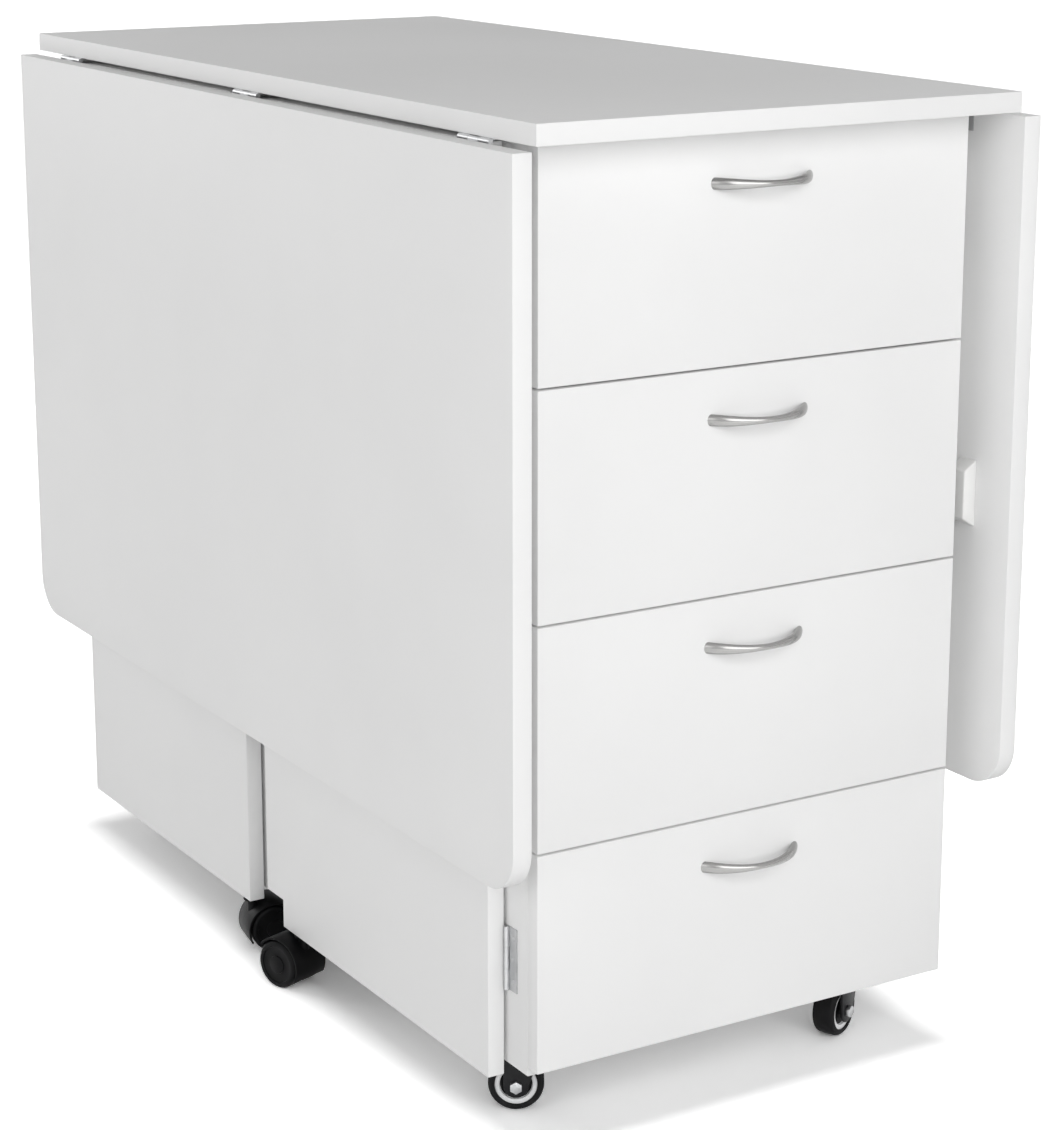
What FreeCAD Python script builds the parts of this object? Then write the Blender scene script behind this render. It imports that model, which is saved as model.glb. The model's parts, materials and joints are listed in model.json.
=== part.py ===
import FreeCAD, Part
import os
import Sketcher

# Folding cutting table: a drawer cabinet on casters under a narrow fixed top, with a long leaf
# hinged to each long edge of the top and two gates on each side that swing out under the leaf.
# Millimetres. X is to the right seen from the drawers, Y to the back, Z up, floor at zero,
# origin under the middle of the top.

doc = FreeCAD.newDocument("cutting_table")
sheet = doc.addObject("Spreadsheet::Sheet", "sizes")

DRIVING_SIZES = [
    # top and leaves
    ("top_length", "1025"),
    ("top_thickness", "18"),
    ("top_height", "886"),
    ("leaf_drop", "612"),
    ("leaf_clearance", "9.75"),
    ("leaf_thickness", "18"),
    ("leaf_corner_radius", "40"),
    # butt hinges of the leaves
    ("leaf_knuckle_radius", "2.25"),
    ("leaf_axis_drop", "2.5"),
    ("leaf_edge_gap", "2.5"),
    ("leaf_hinge_length", "50"),
    ("leaf_hinge_from_end", "92.5"),
    ("leaf_plate_width", "20"),
    # plates, pins and running gaps of every hinge
    ("plate_thickness", "1.2"),
    ("pin_radius", "1.1"),
    ("pin_clearance", "0.05"),
    ("knuckle_gap", "0.3"),
    # magnetic catches on the leaves
    ("catch_length", "62"),
    ("catch_width", "22"),
    ("catch_depth", "14"),
    ("catch_slope", "9"),
    ("catch_from_edge", "46.5"),
    ("catch_from_hinge", "344"),
    # cabinet boards
    ("cabinet_width", "436"),
    ("cabinet_bottom", "72"),
    ("side_foot", "8"),
    ("board_thickness", "16"),
    ("end_overhang", "39.5"),
    ("rail_depth", "80"),
    # drawers
    ("drawer_count", "4"),
    ("drawer_joint", "2"),
    ("drawer_under_top", "3.4"),
    ("drawer_side_thickness", "12"),
    ("drawer_bottom_thickness", "6"),
    ("drawer_bottom_lift", "10"),
    ("drawer_box_depth", "500"),
    ("drawer_box_below_front", "21.2"),
    ("drawer_box_lift", "24"),
    # side runners
    ("runner_space", "12.7"),
    ("runner_height", "45"),
    ("runner_wall", "1.5"),
    ("runner_flange", "4"),
    ("runner_mouth", "3.3"),
    ("runner_gap", "0.4"),
    ("runner_lift", "30"),
    # bow handles
    ("handle_spacing", "96"),
    ("handle_rise", "22"),
    ("handle_bar_radius", "4"),
    ("handle_from_top", "42.5"),
    ("screw_radius", "2"),
    ("screw_clearance", "0.25"),
    ("screw_head_radius", "4"),
    ("screw_head_height", "2.5"),
    # gates
    ("gate_gap", "3.5"),
    ("gate_thickness", "16"),
    ("gate_bottom", "54"),
    ("gate_top_clearance", "0.5"),
    ("gates_apart", "41.5"),
    ("gate_length_difference", "38.5"),
    ("gate_setback", "33.5"),
    ("notch_length", "34"),
    ("notch_height", "28"),
    # butt hinges of the gates
    ("gate_knuckle_radius", "2.5"),
    ("gate_axis_gap", "2.7"),
    ("gate_edge_gap", "3"),
    ("gate_hinge_height", "58"),
    ("gate_hinge_low", "163"),
    ("gate_hinge_below_top", "99.75"),
    ("gate_plate_width", "14"),
    # single wheel casters under the cabinet
    ("caster_inset_x", "50"),
    ("caster_inset_y", "60"),
    ("caster_trail", "22"),
    ("caster_plate_size", "60"),
    ("caster_plate_thickness", "2.5"),
    ("race_radius", "17"),
    ("race_height", "5.6"),
    ("kingpin_radius", "4"),
    ("wheel_radius", "25"),
    ("wheel_width", "22"),
    ("tyre_thickness", "6"),
    ("axle_radius", "4"),
    ("nut_radius", "6"),
    ("nut_height", "4"),
    ("fork_wall", "2.5"),
    ("fork_gap", "1.5"),
    ("fork_end_radius", "11"),
    ("crown_thickness", "4"),
    ("running_gap", "0.06"),
    ("race_gap", "0.3"),
    # twin wheel casters under the gates
    ("twin_trail", "18"),
    ("twin_radius", "24"),
    ("twin_wheel_width", "15"),
    ("twin_web", "10"),
    ("twin_web_gap", "0.5"),
    ("hood_gap", "1.5"),
    ("hood_wall", "2"),
    ("twin_axle_radius", "3"),
    ("stem_radius", "5"),
    ("stem_length", "34"),
    ("socket_wall", "1"),
    ("collar_radius", "9"),
    ("front_caster_from_edge", "62"),
    ("rear_caster_from_edge", "11.5"),
    # length by which a cutting block runs past what it cuts
    ("overrun", "5"),
]

# Sizes that follow from those: the top spans the cabinet, the gates and the room that the hanging
# leaves need, the gates share the length of the cabinet's side, and hinges and drawers its height
FOLLOWING_SIZES = [
    ("gate_side", "=gate_gap + gate_thickness + leaf_clearance"),
    ("top_width", "=cabinet_width + 2 * (gate_side - leaf_axis_drop) - leaf_edge_gap"),
    ("leaf_hinge_spacing", "=top_length / 2 - leaf_hinge_from_end"),
    ("cabinet_side_length", "=top_length - 2 * end_overhang - board_thickness"),
    ("gate_span", "=cabinet_side_length - 2 * gate_setback + gate_edge_gap"),
    ("front_gate_length", "=(gate_span - gates_apart + gate_length_difference) / 2"),
    ("rear_gate_length", "=(gate_span - gates_apart - gate_length_difference) / 2"),
    ("leaf_axis_height", "=top_height - top_thickness - leaf_axis_drop"),
    ("gate_top_height", "=leaf_axis_height - leaf_knuckle_radius - gate_top_clearance"),
    ("gate_hinge_spacing", "=(gate_top_height - gate_hinge_below_top - gate_hinge_low) / 2"),
    ("drawer_stack", "=top_height - top_thickness - drawer_under_top - cabinet_bottom"),
    ("drawer_pitch", "=(drawer_stack + drawer_joint) / drawer_count"),
    ("drawer_front_height", "=drawer_pitch - drawer_joint"),
    ("drawer_box_height", "=drawer_front_height - drawer_box_lift - drawer_box_below_front"),
]

# Directions, in degrees about Z from +X, in which the caster wheels trail behind their swivels
CABINET_TRAIL_ANGLES = {
    "front_left": 148.5,
    "front_right": 205.5,
    "rear_left": 20.0,
    "rear_right": 196.0,
}
GATE_TRAIL_ANGLES = {
    "left_front": 110.0,
    "left_rear": 350.0,
    "right_front": 70.0,
    "right_rear": 190.0,
}


class Size:
    """A length of the table: its expression over the sheet's cells, and what that comes to."""

    def __init__(self, text, value):
        self.text = text
        self.value = value

    def _join(self, sign, other, value):
        text = other.text if isinstance(other, Size) else repr(other)
        return Size(f"({self.text} {sign} {text})", value)

    def __add__(self, other):
        return self._join("+", other, self.value + number(other))

    def __sub__(self, other):
        return self._join("-", other, self.value - number(other))

    def __mul__(self, other):
        return self._join("*", other, self.value * number(other))

    def __truediv__(self, other):
        return self._join("/", other, self.value / number(other))

    def __neg__(self):
        return self * -1


def number(size):
    return size.value if isinstance(size, Size) else size


for row, (alias, text) in enumerate(DRIVING_SIZES + FOLLOWING_SIZES, start=1):
    sheet.set(f"A{row}", alias)
    sheet.set(f"B{row}", text)
    sheet.setAlias(f"B{row}", alias)
doc.recompute()
named = [alias for alias, _ in DRIVING_SIZES + FOLLOWING_SIZES]
size = {alias: Size(f"sizes.{alias}", float(sheet.get(alias))) for alias in named}
ZERO = size["overrun"] * 0


# Makers of bound shapes. A span is a pair of sizes, low and high.


def bind(piece, **expressions):
    for path, value in expressions.items():
        piece.setExpression(path.replace("__", "."), value.text)
    return piece


def place(piece, x, y, z, angle=None):
    """Put a piece at a point, turned about Z by an angle in degrees."""
    if angle is not None:
        turn = FreeCAD.Rotation(FreeCAD.Vector(0, 0, 1), angle)
        piece.Placement = FreeCAD.Placement(FreeCAD.Vector(), turn)
    return bind(piece, Placement__Base__x=x, Placement__Base__y=y, Placement__Base__z=z)


def block(name, x, y, z):
    piece = doc.addObject("Part::Box", name)
    bind(piece, Length=x[1] - x[0], Width=y[1] - y[0], Height=z[1] - z[0])
    return place(piece, x[0], y[0], z[0])


def rod(name, axis, centre, span, radius):
    """A cylinder along an axis. The centre gives the other two coordinates, in X Y Z order."""
    piece = doc.addObject("Part::Cylinder", name)
    bind(piece, Radius=radius, Height=span[1] - span[0])
    turns = {
        "x": FreeCAD.Rotation(FreeCAD.Vector(0, 1, 0), 90),
        "y": FreeCAD.Rotation(FreeCAD.Vector(1, 0, 0), -90),
        "z": FreeCAD.Rotation(),
    }
    piece.Placement = FreeCAD.Placement(FreeCAD.Vector(), turns[axis])
    start = list(centre)
    start.insert("xyz".index(axis), span[0])
    return place(piece, *start)


def fuse(name, pieces):
    joined = doc.addObject("Part::MultiFuse", name)
    joined.Shapes = pieces
    joined.Refine = True
    return joined


def cut(name, base, tools):
    piece = doc.addObject("Part::Cut", name)
    piece.Base = base
    piece.Tool = tools[0] if len(tools) == 1 else fuse(name + "_cuts", tools)
    return piece


def group(name, pieces):
    """Separate solids that share one node."""
    together = doc.addObject("Part::Compound", name)
    together.Links = pieces
    return together


nodes = []


def node(piece, label):
    piece.Label = label
    nodes.append(piece)
    return piece


def around(middle, width):
    return middle - width / 2, middle + width / 2


def outward(sign, near, far):
    """The X span between two distances from the middle plane, on the right (1) or left (-1)."""
    return (near, far) if sign > 0 else (-far, -near)


SIDES = {"left": -1, "right": 1}
past = size["overrun"]

# Levels and planes that the pieces share
top_under = size["top_height"] - size["top_thickness"]
top_half = size["top_width"] / 2
top_front = -size["top_length"] / 2
top_back = size["top_length"] / 2
cabinet_half = size["cabinet_width"] / 2
inside_half = cabinet_half - size["board_thickness"]
front_face = top_front + size["end_overhang"]
cabinet_front = front_face + size["board_thickness"]
cabinet_back = top_back - size["end_overhang"]
inside_back = cabinet_back - size["board_thickness"]

# Top
top_z = (top_under, size["top_height"])
node(block("top", (-top_half, top_half), (top_front, top_back), top_z), "table_top")

# Cabinet boards: two sides that reach below the bottom board, a back, and two flat rails
for side, sign in SIDES.items():
    side_board = block(
        f"{side}_side",
        outward(sign, inside_half, cabinet_half),
        (cabinet_front, cabinet_back),
        (size["cabinet_bottom"] - size["side_foot"], top_under),
    )
    node(side_board, f"side_panel_{side}")

inside_x = (-inside_half, inside_half)
floor_top = size["cabinet_bottom"] + size["board_thickness"]
bottom_board = block("bottom", inside_x, (cabinet_front, inside_back), (size["cabinet_bottom"], floor_top))
node(bottom_board, "bottom_panel")
node(block("back", inside_x, (inside_back, cabinet_back), (size["cabinet_bottom"], top_under)), "back_panel")
rail_z = (top_under - size["board_thickness"], top_under)
rails = [
    block("front_rail", inside_x, (cabinet_front, cabinet_front + size["rail_depth"]), rail_z),
    block("rear_rail", inside_x, (inside_back - size["rail_depth"], inside_back), rail_z),
]
node(group("rails", rails), "top_rails")


# Butt hinges: two outer knuckles on the fixed plate, the middle one on the moving plate


def knuckle_spans(middle, length):
    """The spans of the low, middle and high knuckle of a hinge along its pin."""
    third = length / 3
    gap = size["knuckle_gap"] / 2
    low, high = around(middle, length)
    return [(low, low + third - gap), (low + third + gap, high - third - gap), (high - third + gap, high)]


def clear_of(span):
    """The span that a plate leaves free for the other plate's knuckle."""
    return span[0] - size["knuckle_gap"], span[1] + size["knuckle_gap"]


def hinge_plate(name, axis, centre, spans, radius, plate):
    """A plate with the knuckles at the given spans, bored for the pin, cut clear of the others."""
    barrels = [rod(f"{name}_barrel_{i}", axis, centre, span, radius) for i, span in enumerate(spans)]
    bore_span = (spans[0][0] - past, spans[-1][1] + past)
    bore = rod(f"{name}_bore", axis, centre, bore_span, size["pin_radius"] + size["pin_clearance"])
    return cut(name, fuse(f"{name}_body", barrels + [plate]), [bore])


# Leaves: hung below the top's long edges, each on three hinges, with two magnetic catches
leaf_axis_z = size["leaf_axis_height"]
leaf_axis_x = top_half + size["leaf_edge_gap"] / 2
leaf_inner = leaf_axis_x + size["leaf_axis_drop"]
leaf_outer = leaf_inner + size["leaf_thickness"]
leaf_top = leaf_axis_z - size["leaf_edge_gap"] / 2
leaf_bottom = leaf_top - size["leaf_drop"]
leaf_hinge_places = {"front": -size["leaf_hinge_spacing"], "middle": ZERO, "rear": size["leaf_hinge_spacing"]}


def leaf_board(name, sign):
    """A padded rectangle whose two lower corners are rounded."""
    body = doc.addObject("PartDesign::Body", name)
    plane = [f for f in body.Origin.OriginFeatures if f.Role == "YZ_Plane"][0]
    outline = body.newObject("Sketcher::SketchObject", f"{name}_outline")
    outline.AttachmentSupport = [(plane, "")]
    outline.MapMode = "FlatFace"
    half, drop = size["top_length"].value / 2, size["leaf_drop"].value
    corners = [(-half, 0), (half, 0), (half, drop), (-half, drop)]
    points = [FreeCAD.Vector(x, y, 0) for x, y in corners]
    for i in range(4):
        outline.addGeometry(Part.LineSegment(points[i], points[(i + 1) % 4]), False)
    for i in range(4):
        outline.addConstraint(Sketcher.Constraint("Coincident", i, 2, (i + 1) % 4, 1))
        outline.addConstraint(Sketcher.Constraint("Vertical" if i % 2 else "Horizontal", i))
    outline.addConstraint(Sketcher.Constraint("Symmetric", 0, 1, 0, 2, -1, 1))
    width = outline.addConstraint(Sketcher.Constraint("DistanceX", 0, 1, 0, 2, 2 * half))
    height = outline.addConstraint(Sketcher.Constraint("DistanceY", 1, 1, 1, 2, drop))
    outline.setExpression(f"Constraints[{width}]", size["top_length"].text)
    outline.setExpression(f"Constraints[{height}]", size["leaf_drop"].text)
    pad = bind(body.newObject("PartDesign::Pad", f"{name}_pad"), Length=size["leaf_thickness"])
    pad.Profile = outline
    doc.recompute()
    lower = []
    for i, edge in enumerate(pad.Shape.Edges, start=1):
        ends = [v.Point for v in edge.Vertexes]
        if max(abs(p.z) for p in ends) < 1e-6 and abs(ends[0].y - ends[1].y) < 1e-6:
            lower.append(f"Edge{i}")
    rounding = body.newObject("PartDesign::Fillet", f"{name}_rounding")
    rounding.Base = (pad, lower)
    bind(rounding, Radius=size["leaf_corner_radius"])
    place(body, outward(sign, leaf_inner, leaf_outer)[0], ZERO, leaf_bottom)
    return body


def catch_block(name, sign, y, z):
    """A block on a leaf's inner face, its two short ends sloped."""
    wedge = doc.addObject("Part::Wedge", name)
    flat = size["catch_slope"]
    bind(wedge, Xmin=ZERO, Xmax=size["catch_length"], Ymin=ZERO, Ymax=size["catch_depth"])
    bind(wedge, Zmin=ZERO, Zmax=size["catch_width"], Z2min=ZERO, Z2max=size["catch_width"])
    bind(wedge, X2min=flat, X2max=size["catch_length"] - flat)
    upright = FreeCAD.Matrix()
    upright.A11, upright.A12, upright.A13 = 0, -sign, 0
    upright.A21, upright.A22, upright.A23 = 0, 0, sign
    upright.A31, upright.A32, upright.A33 = -1, 0, 0
    wedge.Placement = FreeCAD.Placement(upright)
    return place(wedge, leaf_inner * sign, y[0] if sign > 0 else y[1], z[1])


fixed_leaf_plates = []
leaf_reach = size["leaf_axis_drop"] + size["knuckle_gap"]
for side, sign in SIDES.items():
    node(leaf_board(f"{side}_leaf_board", sign), f"{side}_leaf")
    moving_plates = []
    for where, y in leaf_hinge_places.items():
        low, middle, high = knuckle_spans(y, size["leaf_hinge_length"])
        centre = (leaf_axis_x * sign, leaf_axis_z)
        along = around(y, size["leaf_hinge_length"])
        name = f"{side}_leaf_{where}"
        under_top = block(
            f"{name}_fixed_flat",
            outward(sign, leaf_axis_x - size["leaf_plate_width"], leaf_axis_x),
            along,
            (top_under - size["plate_thickness"], top_under),
        )
        relief = rod(f"{name}_fixed_relief", "y", centre, clear_of(middle), leaf_reach)
        under_top = cut(f"{name}_fixed_plate", under_top, [relief])
        radius = size["leaf_knuckle_radius"]
        fixed_leaf_plates.append(hinge_plate(f"{name}_fixed", "y", centre, [low, high], radius, under_top))
        fixed_leaf_plates.append(rod(f"{name}_pin", "y", centre, along, size["pin_radius"]))
        on_leaf = block(
            f"{name}_moving_flat",
            outward(sign, leaf_inner - size["plate_thickness"], leaf_inner),
            along,
            (leaf_axis_z - size["leaf_plate_width"], leaf_axis_z),
        )
        reliefs = [
            rod(f"{name}_moving_relief_{i}", "y", centre, clear_of(span), leaf_reach)
            for i, span in enumerate((low, high))
        ]
        on_leaf = cut(f"{name}_moving_plate", on_leaf, reliefs)
        moving_plates.append(hinge_plate(f"{name}_moving", "y", centre, [middle], radius, on_leaf))
    node(group(f"{side}_moving_plates", moving_plates), f"{side}_leaf_hinge_plates")
    catch_top = leaf_axis_z - size["catch_from_hinge"] + size["catch_length"] / 2
    catch_z = (catch_top - size["catch_length"], catch_top)
    front_y = (top_front + size["catch_from_edge"], top_front + size["catch_from_edge"] + size["catch_width"])
    rear_y = (-front_y[1], -front_y[0])
    catches = [
        catch_block(f"{side}_front_catch", sign, front_y, catch_z),
        catch_block(f"{side}_rear_catch", sign, rear_y, catch_z),
    ]
    node(group(f"{side}_catches", catches), f"{side}_leaf_catches")
node(group("fixed_leaf_hinges", fixed_leaf_plates), "leaf_hinge_fixed_plates")

# Gates: upright boards hinged at the front and rear corners of the cabinet's sides
gate_inner = cabinet_half + size["gate_gap"]
gate_outer = gate_inner + size["gate_thickness"]
gate_middle = (gate_inner + gate_outer) / 2
gate_z = (size["gate_bottom"], size["gate_top_height"])
gate_axis_x = cabinet_half + size["gate_axis_gap"]
front_gate_edge = cabinet_front + size["gate_setback"]
rear_gate_edge = cabinet_back - size["gate_setback"] + size["gate_edge_gap"]
# Each gate's hinged edge, and the way it runs from there: 1 to the back, -1 to the front
GATES = {
    "front": (front_gate_edge, 1, size["front_gate_length"], size["front_caster_from_edge"]),
    "rear": (rear_gate_edge, -1, size["rear_gate_length"], size["rear_caster_from_edge"]),
}
gate_hinge_levels = [size["gate_hinge_low"] + size["gate_hinge_spacing"] * i for i in range(3)]


def ordered(a, b):
    return (a, b) if a.value < b.value else (b, a)


def twin_caster(name):
    """Stem, web and hood of a twin wheel caster, with its swivel at the origin, wheels towards +X."""
    axle_x, axle_z = size["twin_trail"], size["twin_radius"]
    half_web = size["twin_web"] / 2
    half_width = half_web + size["twin_web_gap"] + size["twin_wheel_width"]
    inner = size["twin_radius"] + size["hood_gap"]
    outer = inner + size["hood_wall"]
    shell = rod(f"{name}_shell", "y", (axle_x, axle_z), (-half_width, half_width), outer)
    space = rod(f"{name}_space", "y", (axle_x, axle_z), (-half_width - past, half_width + past), inner)
    below = block(
        f"{name}_below",
        (axle_x - outer - past, axle_x + outer + past),
        (-half_width - past, half_width + past),
        (axle_z - outer - past, axle_z + size["twin_axle_radius"]),
    )
    hood = cut(f"{name}_hood", shell, [space, below])
    web_disc = rod(f"{name}_web", "y", (axle_x, axle_z), (-half_web, half_web), inner + size["hood_wall"] / 2)
    web_floor = block(
        f"{name}_web_floor",
        (axle_x - outer - past, axle_x + outer + past),
        (-half_web - past, half_web + past),
        (-outer, axle_z - size["collar_radius"]),
    )
    web = cut(f"{name}_web_trimmed", web_disc, [web_floor])
    collar_top = size["gate_bottom"] - size["race_gap"]
    collar_z = (collar_top - size["hood_wall"], collar_top)
    collar = rod(f"{name}_collar", "z", (ZERO, ZERO), collar_z, size["collar_radius"])
    stem_z = (collar_z[0], size["gate_bottom"] + size["stem_length"])
    stem = rod(f"{name}_stem", "z", (ZERO, ZERO), stem_z, size["stem_radius"])
    neck = rod(f"{name}_neck", "z", (ZERO, ZERO), (axle_z, collar_z[1]), half_web)
    axle_span = (-half_width, half_width)
    axle_hole = rod(f"{name}_axle_hole", "y", (axle_x, axle_z), axle_span, size["twin_axle_radius"])
    cast = fuse(f"{name}_cast", [hood, web, neck, collar, stem])
    housing = cut(f"{name}_housing", cast, [axle_hole])
    axle = rod(f"{name}_axle", "y", (axle_x, axle_z), axle_span, size["twin_axle_radius"])
    return group(f"{name}_parts", [housing, axle])


def twin_wheels(name):
    """The two wheels of a twin wheel caster, one on each side of its web."""
    centre = (size["twin_trail"], size["twin_radius"])
    near = size["twin_web"] / 2 + size["twin_web_gap"]
    far = near + size["twin_wheel_width"]
    wheels = []
    for hand, span in (("first", (near, far)), ("second", (-far, -near))):
        disc = rod(f"{name}_{hand}_disc", "y", centre, span, size["twin_radius"])
        bore_radius = size["twin_axle_radius"] + size["running_gap"]
        bore = rod(f"{name}_{hand}_bore", "y", centre, (span[0] - past, span[1] + past), bore_radius)
        wheels.append(cut(f"{name}_{hand}", disc, [bore]))
    return group(f"{name}_pair", wheels)


fixed_gate_plates = []
for side, sign in SIDES.items():
    for end, (edge, way, length, caster_from_edge) in GATES.items():
        name = f"{side}_{end}_gate"
        free_edge = edge + length * way
        gate_x = outward(sign, gate_inner, gate_outer)
        board = block(f"{name}_board", gate_x, ordered(edge, free_edge), gate_z)
        caster_y = free_edge - caster_from_edge * way
        socket_radius = size["stem_radius"] + size["running_gap"] + size["socket_wall"]
        socket_z = (size["gate_bottom"], size["gate_bottom"] + size["stem_length"] + size["socket_wall"])
        socket_axis = (gate_middle * sign, caster_y)
        cuts = [rod(f"{name}_socket_hole", "z", socket_axis, (ZERO, socket_z[1]), socket_radius)]
        if end == "front":
            notch_y = ordered(free_edge + past, free_edge - size["notch_length"])
            notch_z = (ZERO, size["gate_bottom"] + size["notch_height"])
            cuts.append(block(f"{name}_notch", outward(sign, ZERO, gate_outer + past), notch_y, notch_z))
        node(cut(f"{name}_panel", board, cuts), name)

        fittings = []
        axis = (gate_axis_x * sign, edge - size["gate_edge_gap"] * way)
        for i, level in enumerate(gate_hinge_levels):
            part = f"{name}_hinge_{i}"
            low, middle, high = knuckle_spans(level, size["gate_hinge_height"])
            tall = around(level, size["gate_hinge_height"])
            radius = size["gate_knuckle_radius"]
            gate_reach = radius + size["knuckle_gap"]
            on_side = block(
                f"{part}_fixed_flat",
                outward(sign, cabinet_half, cabinet_half + size["plate_thickness"]),
                ordered(axis[1], axis[1] - size["gate_plate_width"] * way),
                tall,
            )
            relief = rod(f"{part}_fixed_relief", "z", axis, clear_of(middle), gate_reach)
            on_side = cut(f"{part}_fixed_plate", on_side, [relief])
            fixed_gate_plates.append(hinge_plate(f"{part}_fixed", "z", axis, [low, high], radius, on_side))
            fixed_gate_plates.append(rod(f"{part}_pin", "z", axis, tall, size["pin_radius"]))
            on_gate = block(
                f"{part}_moving_flat",
                outward(sign, gate_inner - size["plate_thickness"], gate_inner),
                ordered(axis[1], axis[1] + size["gate_plate_width"] * way),
                tall,
            )
            reliefs = [
                rod(f"{part}_moving_relief_{j}", "z", axis, clear_of(span), gate_reach)
                for j, span in enumerate((low, high))
            ]
            on_gate = cut(f"{part}_moving_plate", on_gate, reliefs)
            fittings.append(hinge_plate(f"{part}_moving", "z", axis, [middle], radius, on_gate))
        socket_body = rod(f"{name}_socket_body", "z", socket_axis, socket_z, socket_radius)
        socket_bore = rod(
            f"{name}_socket_bore", "z", socket_axis,
            (ZERO, size["gate_bottom"] + size["stem_length"] + size["running_gap"]),
            size["stem_radius"] + size["running_gap"],
        )
        node(group(f"{name}_hinges", fittings), f"{name}_hinge_plates")
        node(cut(f"{name}_socket", socket_body, [socket_bore]), f"{name}_caster_socket")

        trail_angle = GATE_TRAIL_ANGLES[f"{side}_{end}"]
        for make, label in ((twin_caster, "caster_hood"), (twin_wheels, "caster_wheels")):
            made = make(f"{name}_{label}")
            node(place(made, gate_middle * sign, caster_y, ZERO, trail_angle), f"{name}_{label}")
node(group("fixed_gate_hinges", fixed_gate_plates), "gate_hinge_fixed_plates")

# Drawers, counted from the top: a front, a box, side runners and a bow handle each
count = int(size["drawer_count"].value)
pitch = size["drawer_pitch"]
front_height = size["drawer_front_height"]
box_half = inside_half - size["runner_space"]
box_inner = box_half - size["drawer_side_thickness"]
box_y = (cabinet_front, cabinet_front + size["drawer_box_depth"])
channel_face = box_half + size["runner_mouth"]
fixed_runners = []


def bow_handle(name, z):
    """A round bar bent to an arc between the two screw points, with its two screws."""
    half_span, rise, bar = size["handle_spacing"] / 2, size["handle_rise"], size["handle_bar_radius"]
    bend = (half_span * half_span + rise * rise) / (rise * 2)
    ring = doc.addObject("Part::Torus", f"{name}_ring")
    bind(ring, Radius1=bend, Radius2=bar)
    place(ring, ZERO, front_face - rise + bend, z)
    reach = half_span + bar * 3
    before = block(
        f"{name}_before", (-reach, reach), (front_face - rise - bar - past, front_face), around(z, bar * 3),
    )
    bow = doc.addObject("Part::Common", f"{name}_bow")
    bow.Base = ring
    bow.Tool = before
    screws = []
    head_y = (cabinet_front, cabinet_front + size["screw_head_height"])
    for hand in (-1, 1):
        axis = (half_span * hand, z)
        shank = rod(f"{name}_shank_{hand + 1}", "y", axis, (front_face, cabinet_front), size["screw_radius"])
        head = rod(f"{name}_head_{hand + 1}", "y", axis, head_y, size["screw_head_radius"])
        screws.append(fuse(f"{name}_screw_{hand + 1}", [shank, head]))
    return group(f"{name}_set", [bow] + screws)


for drawer in range(count):
    name = f"drawer_{drawer + 1}"
    low = size["cabinet_bottom"] + pitch * (count - 1 - drawer)
    front_z = (low, low + front_height)
    handle_z = front_z[1] - size["handle_from_top"]
    plain_front = block(f"{name}_board", (-cabinet_half, cabinet_half), (front_face, cabinet_front), front_z)
    hole_radius = size["screw_radius"] + size["screw_clearance"]
    holes = [
        rod(
            f"{name}_hole_{hand + 1}", "y", (size["handle_spacing"] / 2 * hand, handle_z),
            (front_face - past, cabinet_front + past), hole_radius,
        )
        for hand in (-1, 1)
    ]
    node(cut(f"{name}_face", plain_front, holes), f"{name}_front")

    box_z = (low + size["drawer_box_lift"], low + size["drawer_box_lift"] + size["drawer_box_height"])
    floor_z = (box_z[0] + size["drawer_bottom_lift"],
               box_z[0] + size["drawer_bottom_lift"] + size["drawer_bottom_thickness"])
    back_y = (box_y[1] - size["drawer_side_thickness"], box_y[1])
    boards = [block(f"{name}_{side}", outward(sign, box_inner, box_half), box_y, box_z)
              for side, sign in SIDES.items()]
    boards.append(block(f"{name}_rear", (-box_inner, box_inner), back_y, box_z))
    boards.append(block(f"{name}_floor", (-box_inner, box_inner), (box_y[0], back_y[0]), floor_z))
    node(group(f"{name}_boards", boards), f"{name}_box")

    runner_z = around(box_z[0] + size["runner_lift"], size["runner_height"])
    slot_z = (runner_z[0] + size["runner_flange"], runner_z[1] - size["runner_flange"])
    slider_z = (slot_z[0] + size["runner_gap"], slot_z[1] - size["runner_gap"])
    sliders = []
    for side, sign in SIDES.items():
        channel = block(f"{name}_{side}_channel", outward(sign, channel_face, inside_half), box_y, runner_z)
        slot = block(
            f"{name}_{side}_slot",
            outward(sign, channel_face - past, inside_half - size["runner_wall"]),
            (box_y[0] - past, box_y[1] + past),
            slot_z,
        )
        fixed_runners.append(cut(f"{name}_{side}_fixed", channel, [slot]))
        reach = inside_half - size["runner_wall"] - size["runner_gap"]
        sliders.append(block(f"{name}_{side}_slider", outward(sign, box_half, reach), box_y, slider_z))
    node(group(f"{name}_sliders", sliders), f"{name}_runners")
    node(bow_handle(f"{name}_pull", handle_z), f"{name}_handle")
node(group("channels", fixed_runners), "cabinet_runners")

# Casters under the cabinet: a plate with a race, a fork that swivels on its kingpin, a wheel
caster_x = cabinet_half - size["caster_inset_x"]
caster_y = {"front": cabinet_front + size["caster_inset_y"], "rear": inside_back - size["caster_inset_y"]}
plate_z = (size["cabinet_bottom"] - size["caster_plate_thickness"], size["cabinet_bottom"])
race_z = (plate_z[0] - size["race_height"], plate_z[0])
crown_top = race_z[0] - size["race_gap"]
crown_z = (crown_top - size["crown_thickness"], crown_top)
cheek_near = size["wheel_width"] / 2 + size["fork_gap"]
cheek_far = cheek_near + size["fork_wall"]


def caster_plate(name):
    square = around(ZERO, size["caster_plate_size"])
    flat = block(f"{name}_flat", square, square, plate_z)
    race = rod(f"{name}_race", "z", (ZERO, ZERO), race_z, size["race_radius"])
    bore_radius = size["kingpin_radius"] + size["running_gap"]
    bore = rod(f"{name}_bore", "z", (ZERO, ZERO), (race_z[0] - past, plate_z[1] + past), bore_radius)
    return cut(name, fuse(f"{name}_body", [flat, race]), [bore])


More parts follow.
